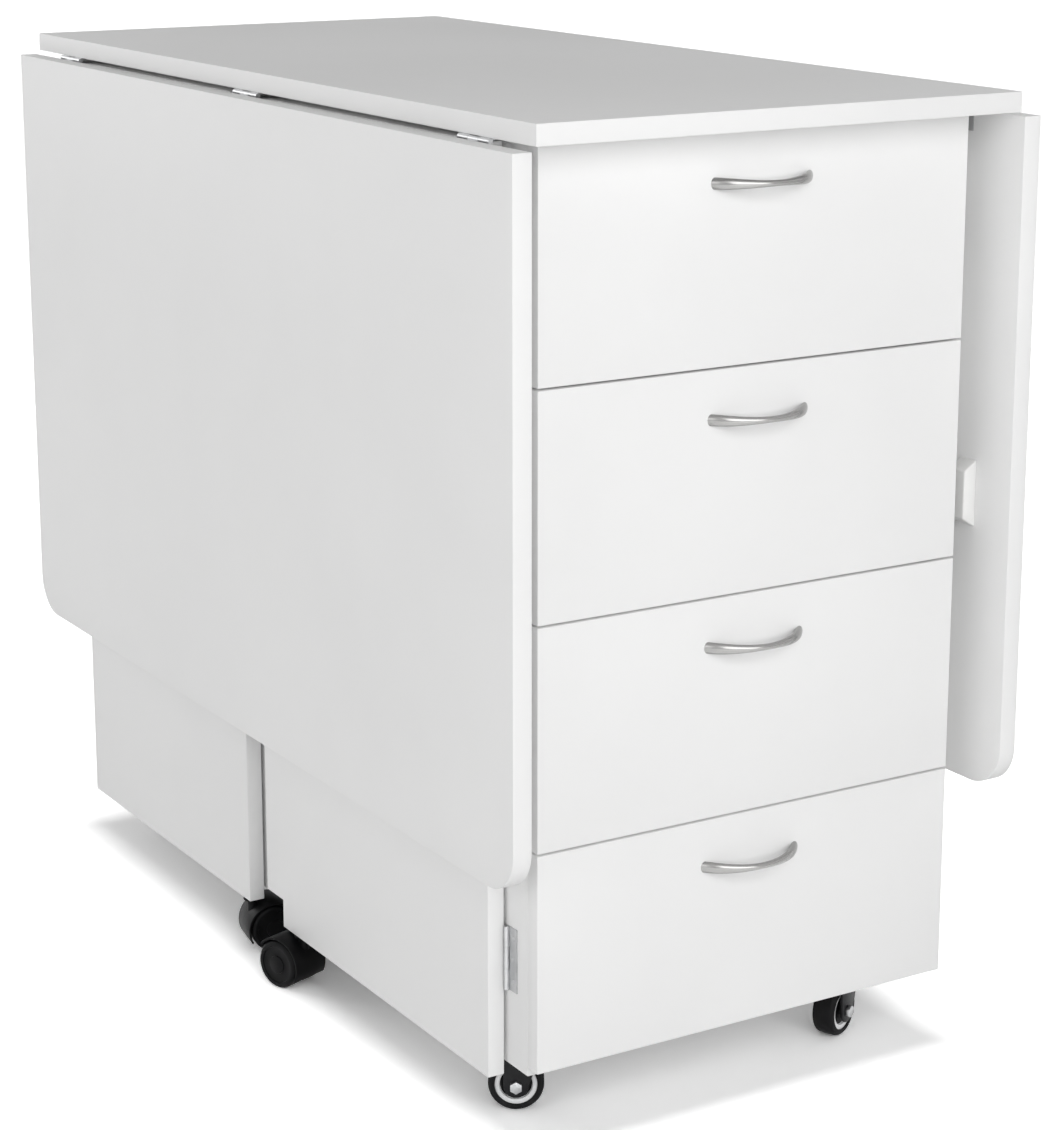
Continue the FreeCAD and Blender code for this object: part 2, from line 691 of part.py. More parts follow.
def caster_fork(name):
    """A fork with its kingpin at the origin and its wheel towards +X, with the axle and its nuts."""
    axle = (size["caster_trail"], size["wheel_radius"])
    end = size["fork_end_radius"]
    kingpin_z = (crown_z[0], plate_z[1] - size["race_gap"])
    pieces = [
        rod(f"{name}_crown", "z", (ZERO, ZERO), crown_z, size["race_radius"]),
        rod(f"{name}_kingpin", "z", (ZERO, ZERO), kingpin_z, size["kingpin_radius"]),
        block(f"{name}_bridge", (ZERO, axle[0] + end), (-cheek_far, cheek_far), crown_z),
    ]
    for hand, span in (("first", (cheek_near, cheek_far)), ("second", (-cheek_far, -cheek_near))):
        cheek_x = (axle[0] - end, axle[0] + end)
        pieces.append(block(f"{name}_{hand}_cheek", cheek_x, span, (axle[1], crown_z[1])))
        pieces.append(rod(f"{name}_{hand}_end", "y", axle, span, end))
    axle_span = (-cheek_far, cheek_far)
    hole = rod(f"{name}_hole", "y", axle, axle_span, size["axle_radius"])
    bent = cut(f"{name}_bent", fuse(f"{name}_sheet", pieces), [hole])
    shank = rod(f"{name}_shank", "y", axle, axle_span, size["axle_radius"])
    nut_far = cheek_far + size["nut_height"]
    nuts = [
        rod(f"{name}_first_nut", "y", axle, (cheek_far, nut_far), size["nut_radius"]),
        rod(f"{name}_second_nut", "y", axle, (-nut_far, -cheek_far), size["nut_radius"]),
    ]
    return group(f"{name}_parts", [bent, fuse(f"{name}_axle", [shank] + nuts)])


def caster_wheel(name):
    """A tyre and the rim that it is moulded on."""
    axle = (size["caster_trail"], size["wheel_radius"])
    span = around(ZERO, size["wheel_width"])
    long_span = (span[0] - past, span[1] + past)
    rim_radius = size["wheel_radius"] - size["tyre_thickness"]
    tyre = cut(
        f"{name}_tyre",
        rod(f"{name}_tread", "y", axle, span, size["wheel_radius"]),
        [rod(f"{name}_seat", "y", axle, long_span, rim_radius)],
    )
    rim = cut(
        f"{name}_rim",
        rod(f"{name}_disc", "y", axle, span, rim_radius),
        [rod(f"{name}_bore", "y", axle, long_span, size["axle_radius"] + size["running_gap"])],
    )
    return group(f"{name}_set", [tyre, rim])


plates = []
for end, y in caster_y.items():
    for side, sign in SIDES.items():
        name = f"{end}_{side}_caster"
        spot = (caster_x * sign, y, ZERO)
        plates.append(place(caster_plate(f"{name}_plate"), *spot))
        trail_angle = CABINET_TRAIL_ANGLES[f"{end}_{side}"]
        node(place(caster_fork(f"{name}_fork_made"), *spot, trail_angle), f"{name}_fork")
        node(place(caster_wheel(f"{name}_wheel_made"), *spot, trail_angle), f"{name}_wheel")
node(group("caster_plates", plates), "cabinet_caster_plates")

doc.recompute()
for piece in doc.Objects:
    if "Invalid" in piece.State or "Error" in piece.State:
        raise RuntimeError(f"{piece.Label} could not be made: {piece.State}")
for piece in nodes:
    if piece.Shape.isNull() or not piece.Shape.isValid():
        raise RuntimeError(f"{piece.Label} has no valid shape")

os.makedirs("parts", exist_ok=True)
for piece in nodes:
    piece.Shape.exportStep(f"parts/{piece.Label}.step")
print(len(nodes), "nodes,", sum(len(piece.Shape.Solids) for piece in nodes), "solids")
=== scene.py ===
# %% [markdown]
# # Folding cutting table
# A white cutting table, folded: a drawer cabinet on casters under a narrow fixed top, a long leaf hanging
# from each long edge, and behind each leaf two gates that swing out to hold it up. The solid model is
# loaded as a fixed frame in metres, with +X to the right of the drawers, +Y to the back and +Z up. It could
# be shown as it is, but its edges are knife sharp and it has no finishes. So this lesson models the pieces
# that show once more, with eased edges and their small forms, lets each stand for its solid, and finishes
# every surface.

# %% Load the frame
import json
import math

import bpy
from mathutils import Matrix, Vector


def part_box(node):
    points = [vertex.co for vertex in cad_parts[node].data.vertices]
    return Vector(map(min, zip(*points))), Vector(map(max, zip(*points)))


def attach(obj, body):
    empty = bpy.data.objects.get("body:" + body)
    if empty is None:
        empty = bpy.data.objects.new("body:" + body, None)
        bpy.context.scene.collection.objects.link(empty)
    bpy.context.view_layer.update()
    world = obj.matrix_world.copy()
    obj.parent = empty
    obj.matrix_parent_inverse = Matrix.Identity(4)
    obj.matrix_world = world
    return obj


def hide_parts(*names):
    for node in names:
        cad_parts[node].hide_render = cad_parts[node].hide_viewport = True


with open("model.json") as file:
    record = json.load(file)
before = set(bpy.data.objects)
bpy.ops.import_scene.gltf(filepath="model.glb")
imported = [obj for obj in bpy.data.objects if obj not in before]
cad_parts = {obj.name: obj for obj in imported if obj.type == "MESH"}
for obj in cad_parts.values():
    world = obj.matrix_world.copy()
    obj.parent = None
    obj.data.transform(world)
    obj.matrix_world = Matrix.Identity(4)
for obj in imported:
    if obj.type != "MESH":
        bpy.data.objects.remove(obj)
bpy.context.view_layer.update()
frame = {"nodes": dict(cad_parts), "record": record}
MM = 0.001
scene = bpy.context.scene
scene.view_settings.view_transform = "Standard"

# %% [markdown]
# ## Camera
# The photograph is taken from the left of the drawers, a little above the top. A camera could be set by
# eye, but then few edges would line up. So its lens, place and turn come from matching the corners of the
# boards to the picture, whose long side is its height. The optical axis lies a little above the picture's
# middle, which is what the small shift is for.

# %% Camera
PICTURE_HEIGHT = 1130
FOCAL_PIXELS = 2846
AXIS_ABOVE_MIDDLE_PIXELS = 85
SENSOR = 36.0
CAMERA_PLACE = (-1.3816, -2.3871, 1.1278)
CAMERA_TURN = (math.radians(90 - 13.427), 0, math.radians(-31.115))
bpy.ops.object.select_all(action="DESELECT")
bpy.ops.object.camera_add(location=CAMERA_PLACE, rotation=CAMERA_TURN)
camera = bpy.context.object
camera.data.sensor_width = SENSOR
camera.data.lens = FOCAL_PIXELS * SENSOR / PICTURE_HEIGHT
camera.data.shift_y = -AXIS_ABOVE_MIDDLE_PIXELS / PICTURE_HEIGHT
scene.camera = camera
print("camera lens", round(camera.data.lens, 1), "mm")

# %% [markdown]
# ## Floor
# The table stands on white paper that runs out to white all round. Lamps could light a floor until it is
# white, but it would then glow on the table from below and lose the shadow. Instead the paper is a plain
# matte plane whose colour is raised only where the camera or a reflection looks at it, and more so away
# from the table. It keeps the shadow around the table and throws no more light on it. Under the table and
# just beside it the colour is raised least, which is painted shade that darkens the shadow there. In
# reflections the rise is held down, so that metal shows plain white and no more.

# %% Helpers for nodes


def new_material(name):
    """A material whose node tree is empty."""
    material = bpy.data.materials.new(name)
    material.use_nodes = True
    material.node_tree.nodes.clear()
    return material, material.node_tree


def add_node(tree, kind, **settings):
    """Add a node, with plain settings as attributes and socket values by their name."""
    made = tree.nodes.new(kind)
    for key, value in settings.items():
        if hasattr(made, key):
            setattr(made, key, value)
        else:
            made.inputs[key.replace("_", " ")].default_value = value
    return made


def looked_at(tree):
    """1 where the camera sees the surface, itself, in a reflection or through something clear, else 0."""
    path = add_node(tree, "ShaderNodeLightPath")
    result = path.outputs["Is Camera Ray"]
    for kind in ("Is Glossy Ray", "Is Transmission Ray"):
        either = add_node(tree, "ShaderNodeMath", operation="MAXIMUM")
        tree.links.new(result, either.inputs[0])
        tree.links.new(path.outputs[kind], either.inputs[1])
        result = either.outputs[0]
    return result


# %% Floor
FLOOR_SIZE = 60.0
FLOOR_COLOUR = 0.78
UNDER_TABLE = (0.215, 0.465, 0)
NEAR, FAR = 0.08, 1.8
# The smallest rise, under the table and ramping up over NEAR, is painted shade that darkens the floor
# there.
RAISED_UNDER_PAINTED_SHADE, RAISED_NEAR, RAISED_FAR = 0.55, 2.6, 3.4
RAISED_IN_REFLECTIONS = 1.3
bpy.ops.mesh.primitive_plane_add(size=FLOOR_SIZE, location=(0, 0, 0))
floor = bpy.context.object
floor.name = "floor"
paper, tree = new_material("white_paper")
matte = add_node(tree, "ShaderNodeBsdfDiffuse")
place = add_node(tree, "ShaderNodeTexCoord")
either_side = add_node(tree, "ShaderNodeVectorMath", operation="ABSOLUTE")
beyond_table = add_node(tree, "ShaderNodeVectorMath", operation="SUBTRACT")
beyond_table.inputs[1].default_value = UNDER_TABLE
outside = add_node(tree, "ShaderNodeVectorMath", operation="MAXIMUM")
distance = add_node(tree, "ShaderNodeVectorMath", operation="LENGTH")
first_rise = add_node(
    tree, "ShaderNodeMapRange", From_Min=0, From_Max=NEAR, To_Min=RAISED_UNDER_PAINTED_SHADE, To_Max=RAISED_NEAR,
)
second_rise = add_node(
    tree, "ShaderNodeMapRange", From_Min=NEAR, From_Max=FAR, To_Min=0, To_Max=RAISED_FAR - RAISED_NEAR,
)
rise = add_node(tree, "ShaderNodeMath", operation="ADD")
held_down = add_node(tree, "ShaderNodeMath", operation="MINIMUM")
held_down.inputs[1].default_value = RAISED_IN_REFLECTIONS
path = add_node(tree, "ShaderNodeLightPath")
seen_rise = add_node(tree, "ShaderNodeMix", data_type="FLOAT")
raised = add_node(tree, "ShaderNodeMath", operation="MULTIPLY_ADD")
raised.inputs[2].default_value = FLOOR_COLOUR
out = add_node(tree, "ShaderNodeOutputMaterial")
tree.links.new(place.outputs["Object"], either_side.inputs[0])
tree.links.new(either_side.outputs["Vector"], beyond_table.inputs[0])
tree.links.new(beyond_table.outputs["Vector"], outside.inputs[0])
tree.links.new(outside.outputs["Vector"], distance.inputs[0])
for part, ramp in enumerate((first_rise, second_rise)):
    tree.links.new(distance.outputs["Value"], ramp.inputs["Value"])
    tree.links.new(ramp.outputs["Result"], rise.inputs[part])
tree.links.new(rise.outputs[0], held_down.inputs[0])
tree.links.new(path.outputs["Is Camera Ray"], seen_rise.inputs["Factor"])
tree.links.new(held_down.outputs[0], seen_rise.inputs["A"])
tree.links.new(rise.outputs[0], seen_rise.inputs["B"])
tree.links.new(looked_at(tree), raised.inputs[0])
tree.links.new(seen_rise.outputs["Result"], raised.inputs[1])
tree.links.new(raised.outputs[0], matte.inputs["Color"])
tree.links.new(matte.outputs[0], out.inputs["Surface"])
floor.data.materials.append(paper)
print("floor", FLOOR_SIZE, "m across")

# %% [markdown]
# ## World
# In a white room most of the light comes from the walls, and the sides of a table are lighter than its top.
# A plain grey world would light the top just as much. So the world is bright at the horizon and dims
# towards the ceiling, and it is plain white where it is looked at.

# %% World
HORIZON, CEILING = 1.0, 0.14
HORIZON_ENDS, CEILING_STARTS = 0.05, 0.75
world = bpy.data.worlds.new("studio")
scene.world = world
world.use_nodes = True
tree = world.node_tree
tree.nodes.clear()
direction = add_node(tree, "ShaderNodeTexCoord")
split = add_node(tree, "ShaderNodeSeparateXYZ")
dimming = add_node(
    tree, "ShaderNodeMapRange",
    From_Min=HORIZON_ENDS, From_Max=CEILING_STARTS, To_Min=HORIZON, To_Max=CEILING,
)
soft_light = add_node(tree, "ShaderNodeBackground", Color=(1, 1, 1, 1))
white_light = add_node(tree, "ShaderNodeBackground", Color=(1, 1, 1, 1), Strength=1.0)
choose = add_node(tree, "ShaderNodeMixShader")
out = add_node(tree, "ShaderNodeOutputWorld")
tree.links.new(direction.outputs["Generated"], split.inputs[0])
tree.links.new(split.outputs["Z"], dimming.inputs["Value"])
tree.links.new(dimming.outputs["Result"], soft_light.inputs["Strength"])
tree.links.new(looked_at(tree), choose.inputs[0])
tree.links.new(soft_light.outputs[0], choose.inputs[1])
tree.links.new(white_light.outputs[0], choose.inputs[2])
tree.links.new(choose.outputs[0], out.inputs["Surface"])
print("world from", HORIZON, "to", CEILING)

# %% [markdown]
# ## Lamps
# The drawers catch the most light, the left leaf less and the top least. Small lamps would do that with
# hard shadows and hot spots, so these are soft boxes: a wide one in front, a little above the top, which
# leaves a soft shadow under its overhang, one on the left, and weak ones behind and on the right, so that
# those sides aren't left grey.

# %% Lamps


def soft_box(name, place, width, height, power):
    """A rectangular area lamp at a place, turned to face the middle of the table."""
    bpy.ops.object.light_add(type="AREA", location=place)
    lamp = bpy.context.object
    lamp.name = name
    lamp.data.shape = "RECTANGLE"
    lamp.data.size = width
    lamp.data.size_y = height
    lamp.data.energy = power
    lamp.rotation_euler = (TABLE_MIDDLE - Vector(place)).to_track_quat("-Z", "Y").to_euler()
    return lamp


TABLE_MIDDLE = Vector((0, 0, 0.45))
soft_box("front_box", (-0.6, -3.2, 1.65), width=3.2, height=2.2, power=55)
soft_box("left_box", (-3.6, -1.2, 1.3), width=2.4, height=1.8, power=14)
soft_box("rear_box", (-2.0, 3.2, 1.4), width=2.4, height=1.6, power=28)
soft_box("right_box", (3.6, 0.6, 0.9), width=2.4, height=1.2, power=17)
print("four soft boxes")

# %% [markdown]
# ## Shared surface detail
# Melamine, plastic, paint, rubber and plated steel all break the light up a little: a slow drift of tone
# from pressing or moulding, and a fine pebble that blurs reflections. Every material could hold noise of
# its own, but one node group, built once, makes both from noise on the object's own coordinates, and each
# finish sets its own scales.

# %% Surface detail group


def new_group(name, numbers, results):
    """An empty shader node group, with its number inputs and results."""
    group = bpy.data.node_groups.new(name, "ShaderNodeTree")
    for label, value in numbers.items():
        socket = group.interface.new_socket(label, in_out="INPUT", socket_type="NodeSocketFloat")
        socket.default_value = value
    for label in results:
        group.interface.new_socket(label, in_out="OUTPUT", socket_type="NodeSocketFloat")
    return group, add_node(group, "NodeGroupInput"), add_node(group, "NodeGroupOutput")


scales = {"Drift Scale": 6, "Pebble Scale": 900}
surface_group, group_in, group_out = new_group("surface_detail", scales, ["Drift", "Pebble"])
coordinates = add_node(surface_group, "ShaderNodeTexCoord")
drift = add_node(surface_group, "ShaderNodeTexNoise", Detail=3.0, Roughness=0.55)
pebble = add_node(surface_group, "ShaderNodeTexNoise", Detail=2.0, Roughness=0.5)
for noise, scale, result in ((drift, "Drift Scale", "Drift"), (pebble, "Pebble Scale", "Pebble")):
    surface_group.links.new(coordinates.outputs["Object"], noise.inputs["Vector"])
    surface_group.links.new(group_in.outputs[scale], noise.inputs["Scale"])
    surface_group.links.new(noise.outputs["Fac"], group_out.inputs[result])
print("group", surface_group.name)

# %% [markdown]
# ## Melamine
# The boards are faced with white satin melamine. One flat colour would look like card, so a finish mixes
# two near tones by the drift, lets the drift sway the roughness, and turns the pebble into a shallow bump.
# What is the same all over, such as metallic or how much a surface mirrors, is set on the shader itself.

# %% Finish maker
DRIFT_LOW, DRIFT_HIGH = 0.3, 0.7
PEBBLE_DEPTH = 0.2 * MM


def finish_of(name, dark, light, rough, drift_scale, pebble_scale, bump, **shader):
    """A material whose colour and roughness drift between two values, with a pebbled bump."""
    material, tree = new_material(name)
    detail = add_node(tree, "ShaderNodeGroup", node_tree=surface_group)
    detail.inputs["Drift Scale"].default_value = drift_scale
    detail.inputs["Pebble Scale"].default_value = pebble_scale
    tone = add_node(tree, "ShaderNodeMix", data_type="RGBA")
    tone.inputs["A"].default_value = (*dark, 1)
    tone.inputs["B"].default_value = (*light, 1)
    spread = add_node(tree, "ShaderNodeMapRange", From_Min=DRIFT_LOW, From_Max=DRIFT_HIGH)
    gloss = add_node(tree, "ShaderNodeMapRange", To_Min=rough[0], To_Max=rough[1])
    relief = add_node(tree, "ShaderNodeBump", Strength=bump, Distance=PEBBLE_DEPTH)
    surface = add_node(tree, "ShaderNodeBsdfPrincipled", **shader)
    out = add_node(tree, "ShaderNodeOutputMaterial")
    tree.links.new(detail.outputs["Drift"], spread.inputs["Value"])
    tree.links.new(spread.outputs["Result"], tone.inputs["Factor"])
    tree.links.new(spread.outputs["Result"], gloss.inputs["Value"])
    tree.links.new(detail.outputs["Pebble"], relief.inputs["Height"])
    tree.links.new(tone.outputs["Result"], surface.inputs["Base Color"])
    tree.links.new(gloss.outputs["Result"], surface.inputs["Roughness"])
    tree.links.new(relief.outputs["Normal"], surface.inputs["Normal"])
    tree.links.new(surface.outputs[0], out.inputs["Surface"])
    return material


# %% Board finish
white_melamine = finish_of(
    "white_melamine", dark=(0.83, 0.83, 0.828), light=(0.865, 0.865, 0.862), rough=(0.44, 0.54),
    drift_scale=3.5, pebble_scale=1400, bump=0.12, Specular_IOR_Level=0.3,
)
print("finish:", white_melamine.name)

# %% [markdown]
# ## Top and cabinet
# The top, the cabinet's sides, bottom and back are plain boards with glued edging, eased by about half a
# millimetre. That small round is what catches the light along every edge. A bevel could be added to the
# solids, but they are fixed, so each board is a cube set to its solid's box, with a bevel modifier that is
# applied. The place is put into the mesh, so the object itself stays at the origin.

# %% Helpers for boards
EASE = 0.6 * MM
EASE_STEPS = 3
FEW_STEPS = 2
EASED_ANGLE = 0.6
BOARD_SLOT = "white_board"


def make_active(piece):
    """Leave edit mode, deselect everything, then select one piece."""
    if bpy.context.object and bpy.context.object.mode != "OBJECT":
        bpy.ops.object.mode_set(mode="OBJECT")
    bpy.ops.object.select_all(action="DESELECT")
    if piece:
        piece.select_set(True)
        bpy.context.view_layer.objects.active = piece


def settle(piece):
    """Put the object's place, turn and scale into its mesh."""
    make_active(piece)
    bpy.ops.object.transform_apply(location=True, rotation=True, scale=True)
    return piece


def cube(name, low, high):
    """A box between two corners."""
    make_active(None)
    bpy.ops.mesh.primitive_cube_add(size=1, location=(Vector(low) + Vector(high)) / 2)
    piece = bpy.context.object
    piece.name = name
    piece.scale = Vector(high) - Vector(low)
    return settle(piece)


def ease_edges(piece, width, segments=EASE_STEPS):
    """Round every edge that is sharper than an angle, in radians, with a bevel modifier."""
    make_active(piece)
    bevel = piece.modifiers.new("ease", "BEVEL")
    bevel.width = width
    bevel.segments = segments
    bevel.limit_method = "ANGLE"
    bevel.angle_limit = EASED_ANGLE
    bpy.ops.object.modifier_apply(modifier=bevel.name)
    bpy.ops.object.shade_smooth_by_angle(angle=EASED_ANGLE)
    return piece


def finish(piece, body, slot, material, *nodes):
    """Dress a piece, let it ride on its body and stand for its solid."""
    piece.data.materials.clear()
    piece.data.materials.append(material)
    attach(piece, body)
    if nodes:
        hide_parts(*nodes)
    return piece


def board(node, body):
    """A box as large as its solid, with eased edges, which stands for it."""
    low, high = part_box(node)
    piece = ease_edges(cube(f"{node}_board", low, high), EASE)
    return finish(piece, body, BOARD_SLOT, white_melamine, node)


# %% Top and cabinet boards
for node in ("table_top", "side_panel_left", "side_panel_right", "bottom_panel", "back_panel"):
    board(node, "cabinet")
print("top and four cabinet boards")

# %% [markdown]
# ## Top rails
# Two rails under the top hold the cabinet's sides apart and show when the first drawer is out. They are one
# node of the frame, so the two boards are made alike and joined into one piece.

# %% Top rails
RAIL_DEPTH = 80 * MM


def join(name, pieces):
    """Join pieces into the first one, which takes the name."""
    make_active(pieces[0])
    for piece in pieces:
        piece.select_set(True)
    bpy.ops.object.join()
    pieces[0].name = name
    return pieces[0]


low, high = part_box("top_rails")
rails = []
for near, far in ((low.y, low.y + RAIL_DEPTH), (high.y - RAIL_DEPTH, high.y)):
    rails.append(ease_edges(cube("rail", (low.x, near, low.z), (high.x, far, high.z)), EASE))
finish(join("top_rails_pair", rails), "cabinet", BOARD_SLOT, white_melamine, "top_rails")
print(len(rails), "rails")

# %% [markdown]
# ## Leaves
# A leaf is a board whose two free corners are rounded, so that nobody catches a hip on them. They could be
# cut with a curved cutter, but a bevel on just those two edges of a box is cleaner. With no window there is
# nobody to click, so edges are picked in code, by where their end points are, and then the usual easing
# follows.

# %% Helpers for edit mode


def pick(piece, kind, test):
    """Select, and enter edit mode on, the vertices, edges or faces whose corner points pass a test."""
    make_active(piece)
    bpy.context.tool_settings.mesh_select_mode = [kind == k for k in ("VERT", "EDGE", "FACE")]
    mesh = piece.data
    for items in (mesh.vertices, mesh.edges, mesh.polygons):
        items.foreach_set("select", [False] * len(items))
    for item in {"VERT": mesh.vertices, "EDGE": mesh.edges, "FACE": mesh.polygons}[kind]:
        points = [item.co] if kind == "VERT" else [mesh.vertices[i].co for i in item.vertices]
        item.select = test(points)
    bpy.ops.object.mode_set(mode="EDIT")


def everything(points):
    """A test that every vertex, edge and face passes."""
    return True


def done(piece):
    """Leave edit mode."""
    bpy.ops.object.mode_set(mode="OBJECT")
    return piece


def extent(piece):
    """The size of a piece's mesh, in millimetres."""
    points = [vertex.co for vertex in piece.data.vertices]
    return [round((max(p[i] for p in points) - min(p[i] for p in points)) / MM, 1) for i in range(3)]


# %% Leaves
LEAF_CORNER = 40 * MM
LEAF_CORNER_STEPS = 20
for side in ("left", "right"):
    low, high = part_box(f"{side}_leaf")
    leaf = cube(f"{side}_leaf_board", low, high)

    def lower_corner(points):
        along_x = abs(points[0].x - points[1].x) > MM
        return along_x and all(point.z < low.z + MM for point in points)

    pick(leaf, "EDGE", lower_corner)
    bpy.ops.mesh.bevel(offset=LEAF_CORNER, segments=LEAF_CORNER_STEPS, affect="EDGES")
    done(leaf)
    ease_edges(leaf, EASE)
    finish(leaf, f"leaf_{side}", BOARD_SLOT, white_melamine, f"{side}_leaf")
    print(side, "leaf", extent(leaf), "mm")

# %% [markdown]
# ## Gates
# The gates are the upright boards that swing out under a raised leaf. The front ones lose a notch at their
# lower free corner, which clears the caster of the gate behind. An outline could be extruded, but a boolean
# cut with a small box keeps to the two sizes of the notch, and the easing then also runs round it.

# %% Gates
NOTCH_LENGTH = 34 * MM
NOTCH_HEIGHT = 28 * MM


def cut_away(piece, cutter):
    """Cut one piece out of another with a boolean that is applied."""
    make_active(piece)
    cut = piece.modifiers.new("cut", "BOOLEAN")
    cut.operation = "DIFFERENCE"
    cut.object = cutter
    bpy.ops.object.modifier_apply(modifier=cut.name)
    bpy.data.objects.remove(cutter)
    return piece


for side in ("left", "right"):
    for end in ("front", "rear"):
        node = f"{side}_{end}_gate"
        low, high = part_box(node)
        gate = cube(f"{node}_board", low, high)
        if end == "front":
            beyond = Vector((NOTCH_HEIGHT, NOTCH_LENGTH, NOTCH_HEIGHT))
            corner = Vector((low.x, high.y, low.z)) - beyond
            cut_away(gate, cube("notch", corner, Vector((high.x, high.y, low.z)) + beyond))
        ease_edges(gate, EASE)
        finish(gate, f"gate_{side}_{end}", BOARD_SLOT, white_melamine, node)
        print(node, extent(gate), "mm")

# %% [markdown]
# ## Drawers
# A drawer is a front board screwed to a box of two sides, a back and a thin bottom. The boxes show only
# when a drawer is pulled out, and could be one hollowed block, but a real box has butt joints that catch
# the light. So each is four eased boards, joined, in a slightly duller melamine than the fronts.

# %% Drawers
BOX_BOARD = 12 * MM
BOX_BOTTOM = 6 * MM
BOTTOM_LIFT = 10 * MM
DRAWERS = ["drawer_1", "drawer_2", "drawer_3", "drawer_4"]
box_melamine = finish_of(
    "drawer_box_melamine", dark=(0.78, 0.78, 0.775), light=(0.82, 0.82, 0.815), rough=(0.45, 0.55),
    drift_scale=4.0, pebble_scale=1100, bump=0.15,
)
for drawer in DRAWERS:
    board(f"{drawer}_front", drawer)
    low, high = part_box(f"{drawer}_box")
    left, right, back = low.x + BOX_BOARD, high.x - BOX_BOARD, high.y - BOX_BOARD
    bottom = low.z + BOTTOM_LIFT
    spans = {
        "left": (low, (left, high.y, high.z)),
        "right": ((right, low.y, low.z), high),
        "back": ((left, back, low.z), (right, high.y, high.z)),
        "bottom": ((left, low.y, bottom), (right, back, bottom + BOX_BOTTOM)),
    }
    boards = [ease_edges(cube(f"{drawer}_{part}", a, b), EASE) for part, (a, b) in spans.items()]
    finish(join(f"{drawer}_box_boards", boards), drawer, BOARD_SLOT, box_melamine, f"{drawer}_box")
print(len(DRAWERS), "drawers, each front and box")

# %% [markdown]
# ## Satin nickel
# The handles are plated with satin nickel that is brushed along the bar. Plain noise would look cast, so
# the brush marks are noise squeezed across the bar and drawn out along it by a mapping. They sway the tone,
# the roughness and a very shallow bump.

# %% Satin nickel
BRUSH_STRETCH = (40, 2600, 2600)
BRUSH_DEPTH = 0.1 * MM
NICKEL_DARK, NICKEL_LIGHT = (0.28, 0.277, 0.273), (0.38, 0.377, 0.372)
SMOOTHEST, ROUGHEST = 0.16, 0.28
satin_nickel, tree = new_material("satin_nickel")
coordinates = add_node(tree, "ShaderNodeTexCoord")
stretch = add_node(tree, "ShaderNodeMapping", Scale=BRUSH_STRETCH)
brush = add_node(tree, "ShaderNodeTexNoise", Scale=1.0, Detail=3.0)
gloss = add_node(tree, "ShaderNodeMapRange", To_Min=SMOOTHEST, To_Max=ROUGHEST)
tone = add_node(tree, "ShaderNodeMix", data_type="RGBA")
tone.inputs["A"].default_value = (*NICKEL_DARK, 1)
tone.inputs["B"].default_value = (*NICKEL_LIGHT, 1)
relief = add_node(tree, "ShaderNodeBump", Strength=0.04, Distance=BRUSH_DEPTH)
surface = add_node(tree, "ShaderNodeBsdfPrincipled", Metallic=1.0)
out = add_node(tree, "ShaderNodeOutputMaterial")
tree.links.new(coordinates.outputs["Object"], stretch.inputs["Vector"])
tree.links.new(stretch.outputs["Vector"], brush.inputs["Vector"])
tree.links.new(brush.outputs["Fac"], gloss.inputs["Value"])
tree.links.new(brush.outputs["Fac"], tone.inputs["Factor"])
tree.links.new(brush.outputs["Fac"], relief.inputs["Height"])
tree.links.new(tone.outputs["Result"], surface.inputs["Base Color"])
tree.links.new(gloss.outputs["Result"], surface.inputs["Roughness"])
tree.links.new(relief.outputs["Normal"], surface.inputs["Normal"])
tree.links.new(surface.outputs[0], out.inputs["Surface"])
print("finish:", satin_nickel.name)

# %% [markdown]
# ## Bow handles
# Each drawer has a bowed bar, slim in the middle and flared where it meets the board. A curve with a bevel
# could make the bow, but not the flare. So a flattened circle is spun through the bow's arc, the middle is
# squeezed with a smooth falloff, and what runs into the board is cut off flush with its face. It is
# modelled once, then copied to every drawer.

# %% Bow
HANDLE_SPACING = 96 * MM
HANDLE_RISE = 23 * MM
HANDLE_HALF_HEIGHT = 5.2 * MM
HANDLE_HALF_DEPTH = 3.1 * MM
HANDLE_WAIST_SHARE = 0.5
WAIST_REACH_SHARE = 1.15
BURIED_ANGLE = math.radians(7)
BAR_SIDES = 24
BOW_STEPS = 40
half_span = HANDLE_SPACING / 2
bow_radius = (half_span**2 + HANDLE_RISE**2) / (2 * HANDLE_RISE)
bow_middle = Vector((0, bow_radius - HANDLE_RISE, 0))
half_angle = math.asin(half_span / bow_radius) + BURIED_ANGLE

make_active(None)
bpy.ops.mesh.primitive_circle_add(
    vertices=BAR_SIDES, radius=HANDLE_HALF_DEPTH, fill_type="NGON", rotation=(0, math.pi / 2, 0),
)
bow = bpy.context.object
bow.scale = (HANDLE_HALF_HEIGHT / HANDLE_HALF_DEPTH, 1, 1)
bow.location = (0, -HANDLE_RISE, 0)
settle(bow)
pick(bow, "VERT", everything)
bpy.ops.transform.rotate(value=half_angle, orient_axis="Z", center_override=bow_middle)
done(bow)
start = sum((vertex.co for vertex in bow.data.vertices), Vector()) / len(bow.data.vertices)
swing = -2 * half_angle if start.x < 0 else 2 * half_angle
pick(bow, "FACE", everything)
bpy.ops.mesh.spin(steps=BOW_STEPS, angle=swing, center=bow_middle, axis=(0, 0, 1))
done(bow)
print("bow", extent(bow), "mm")

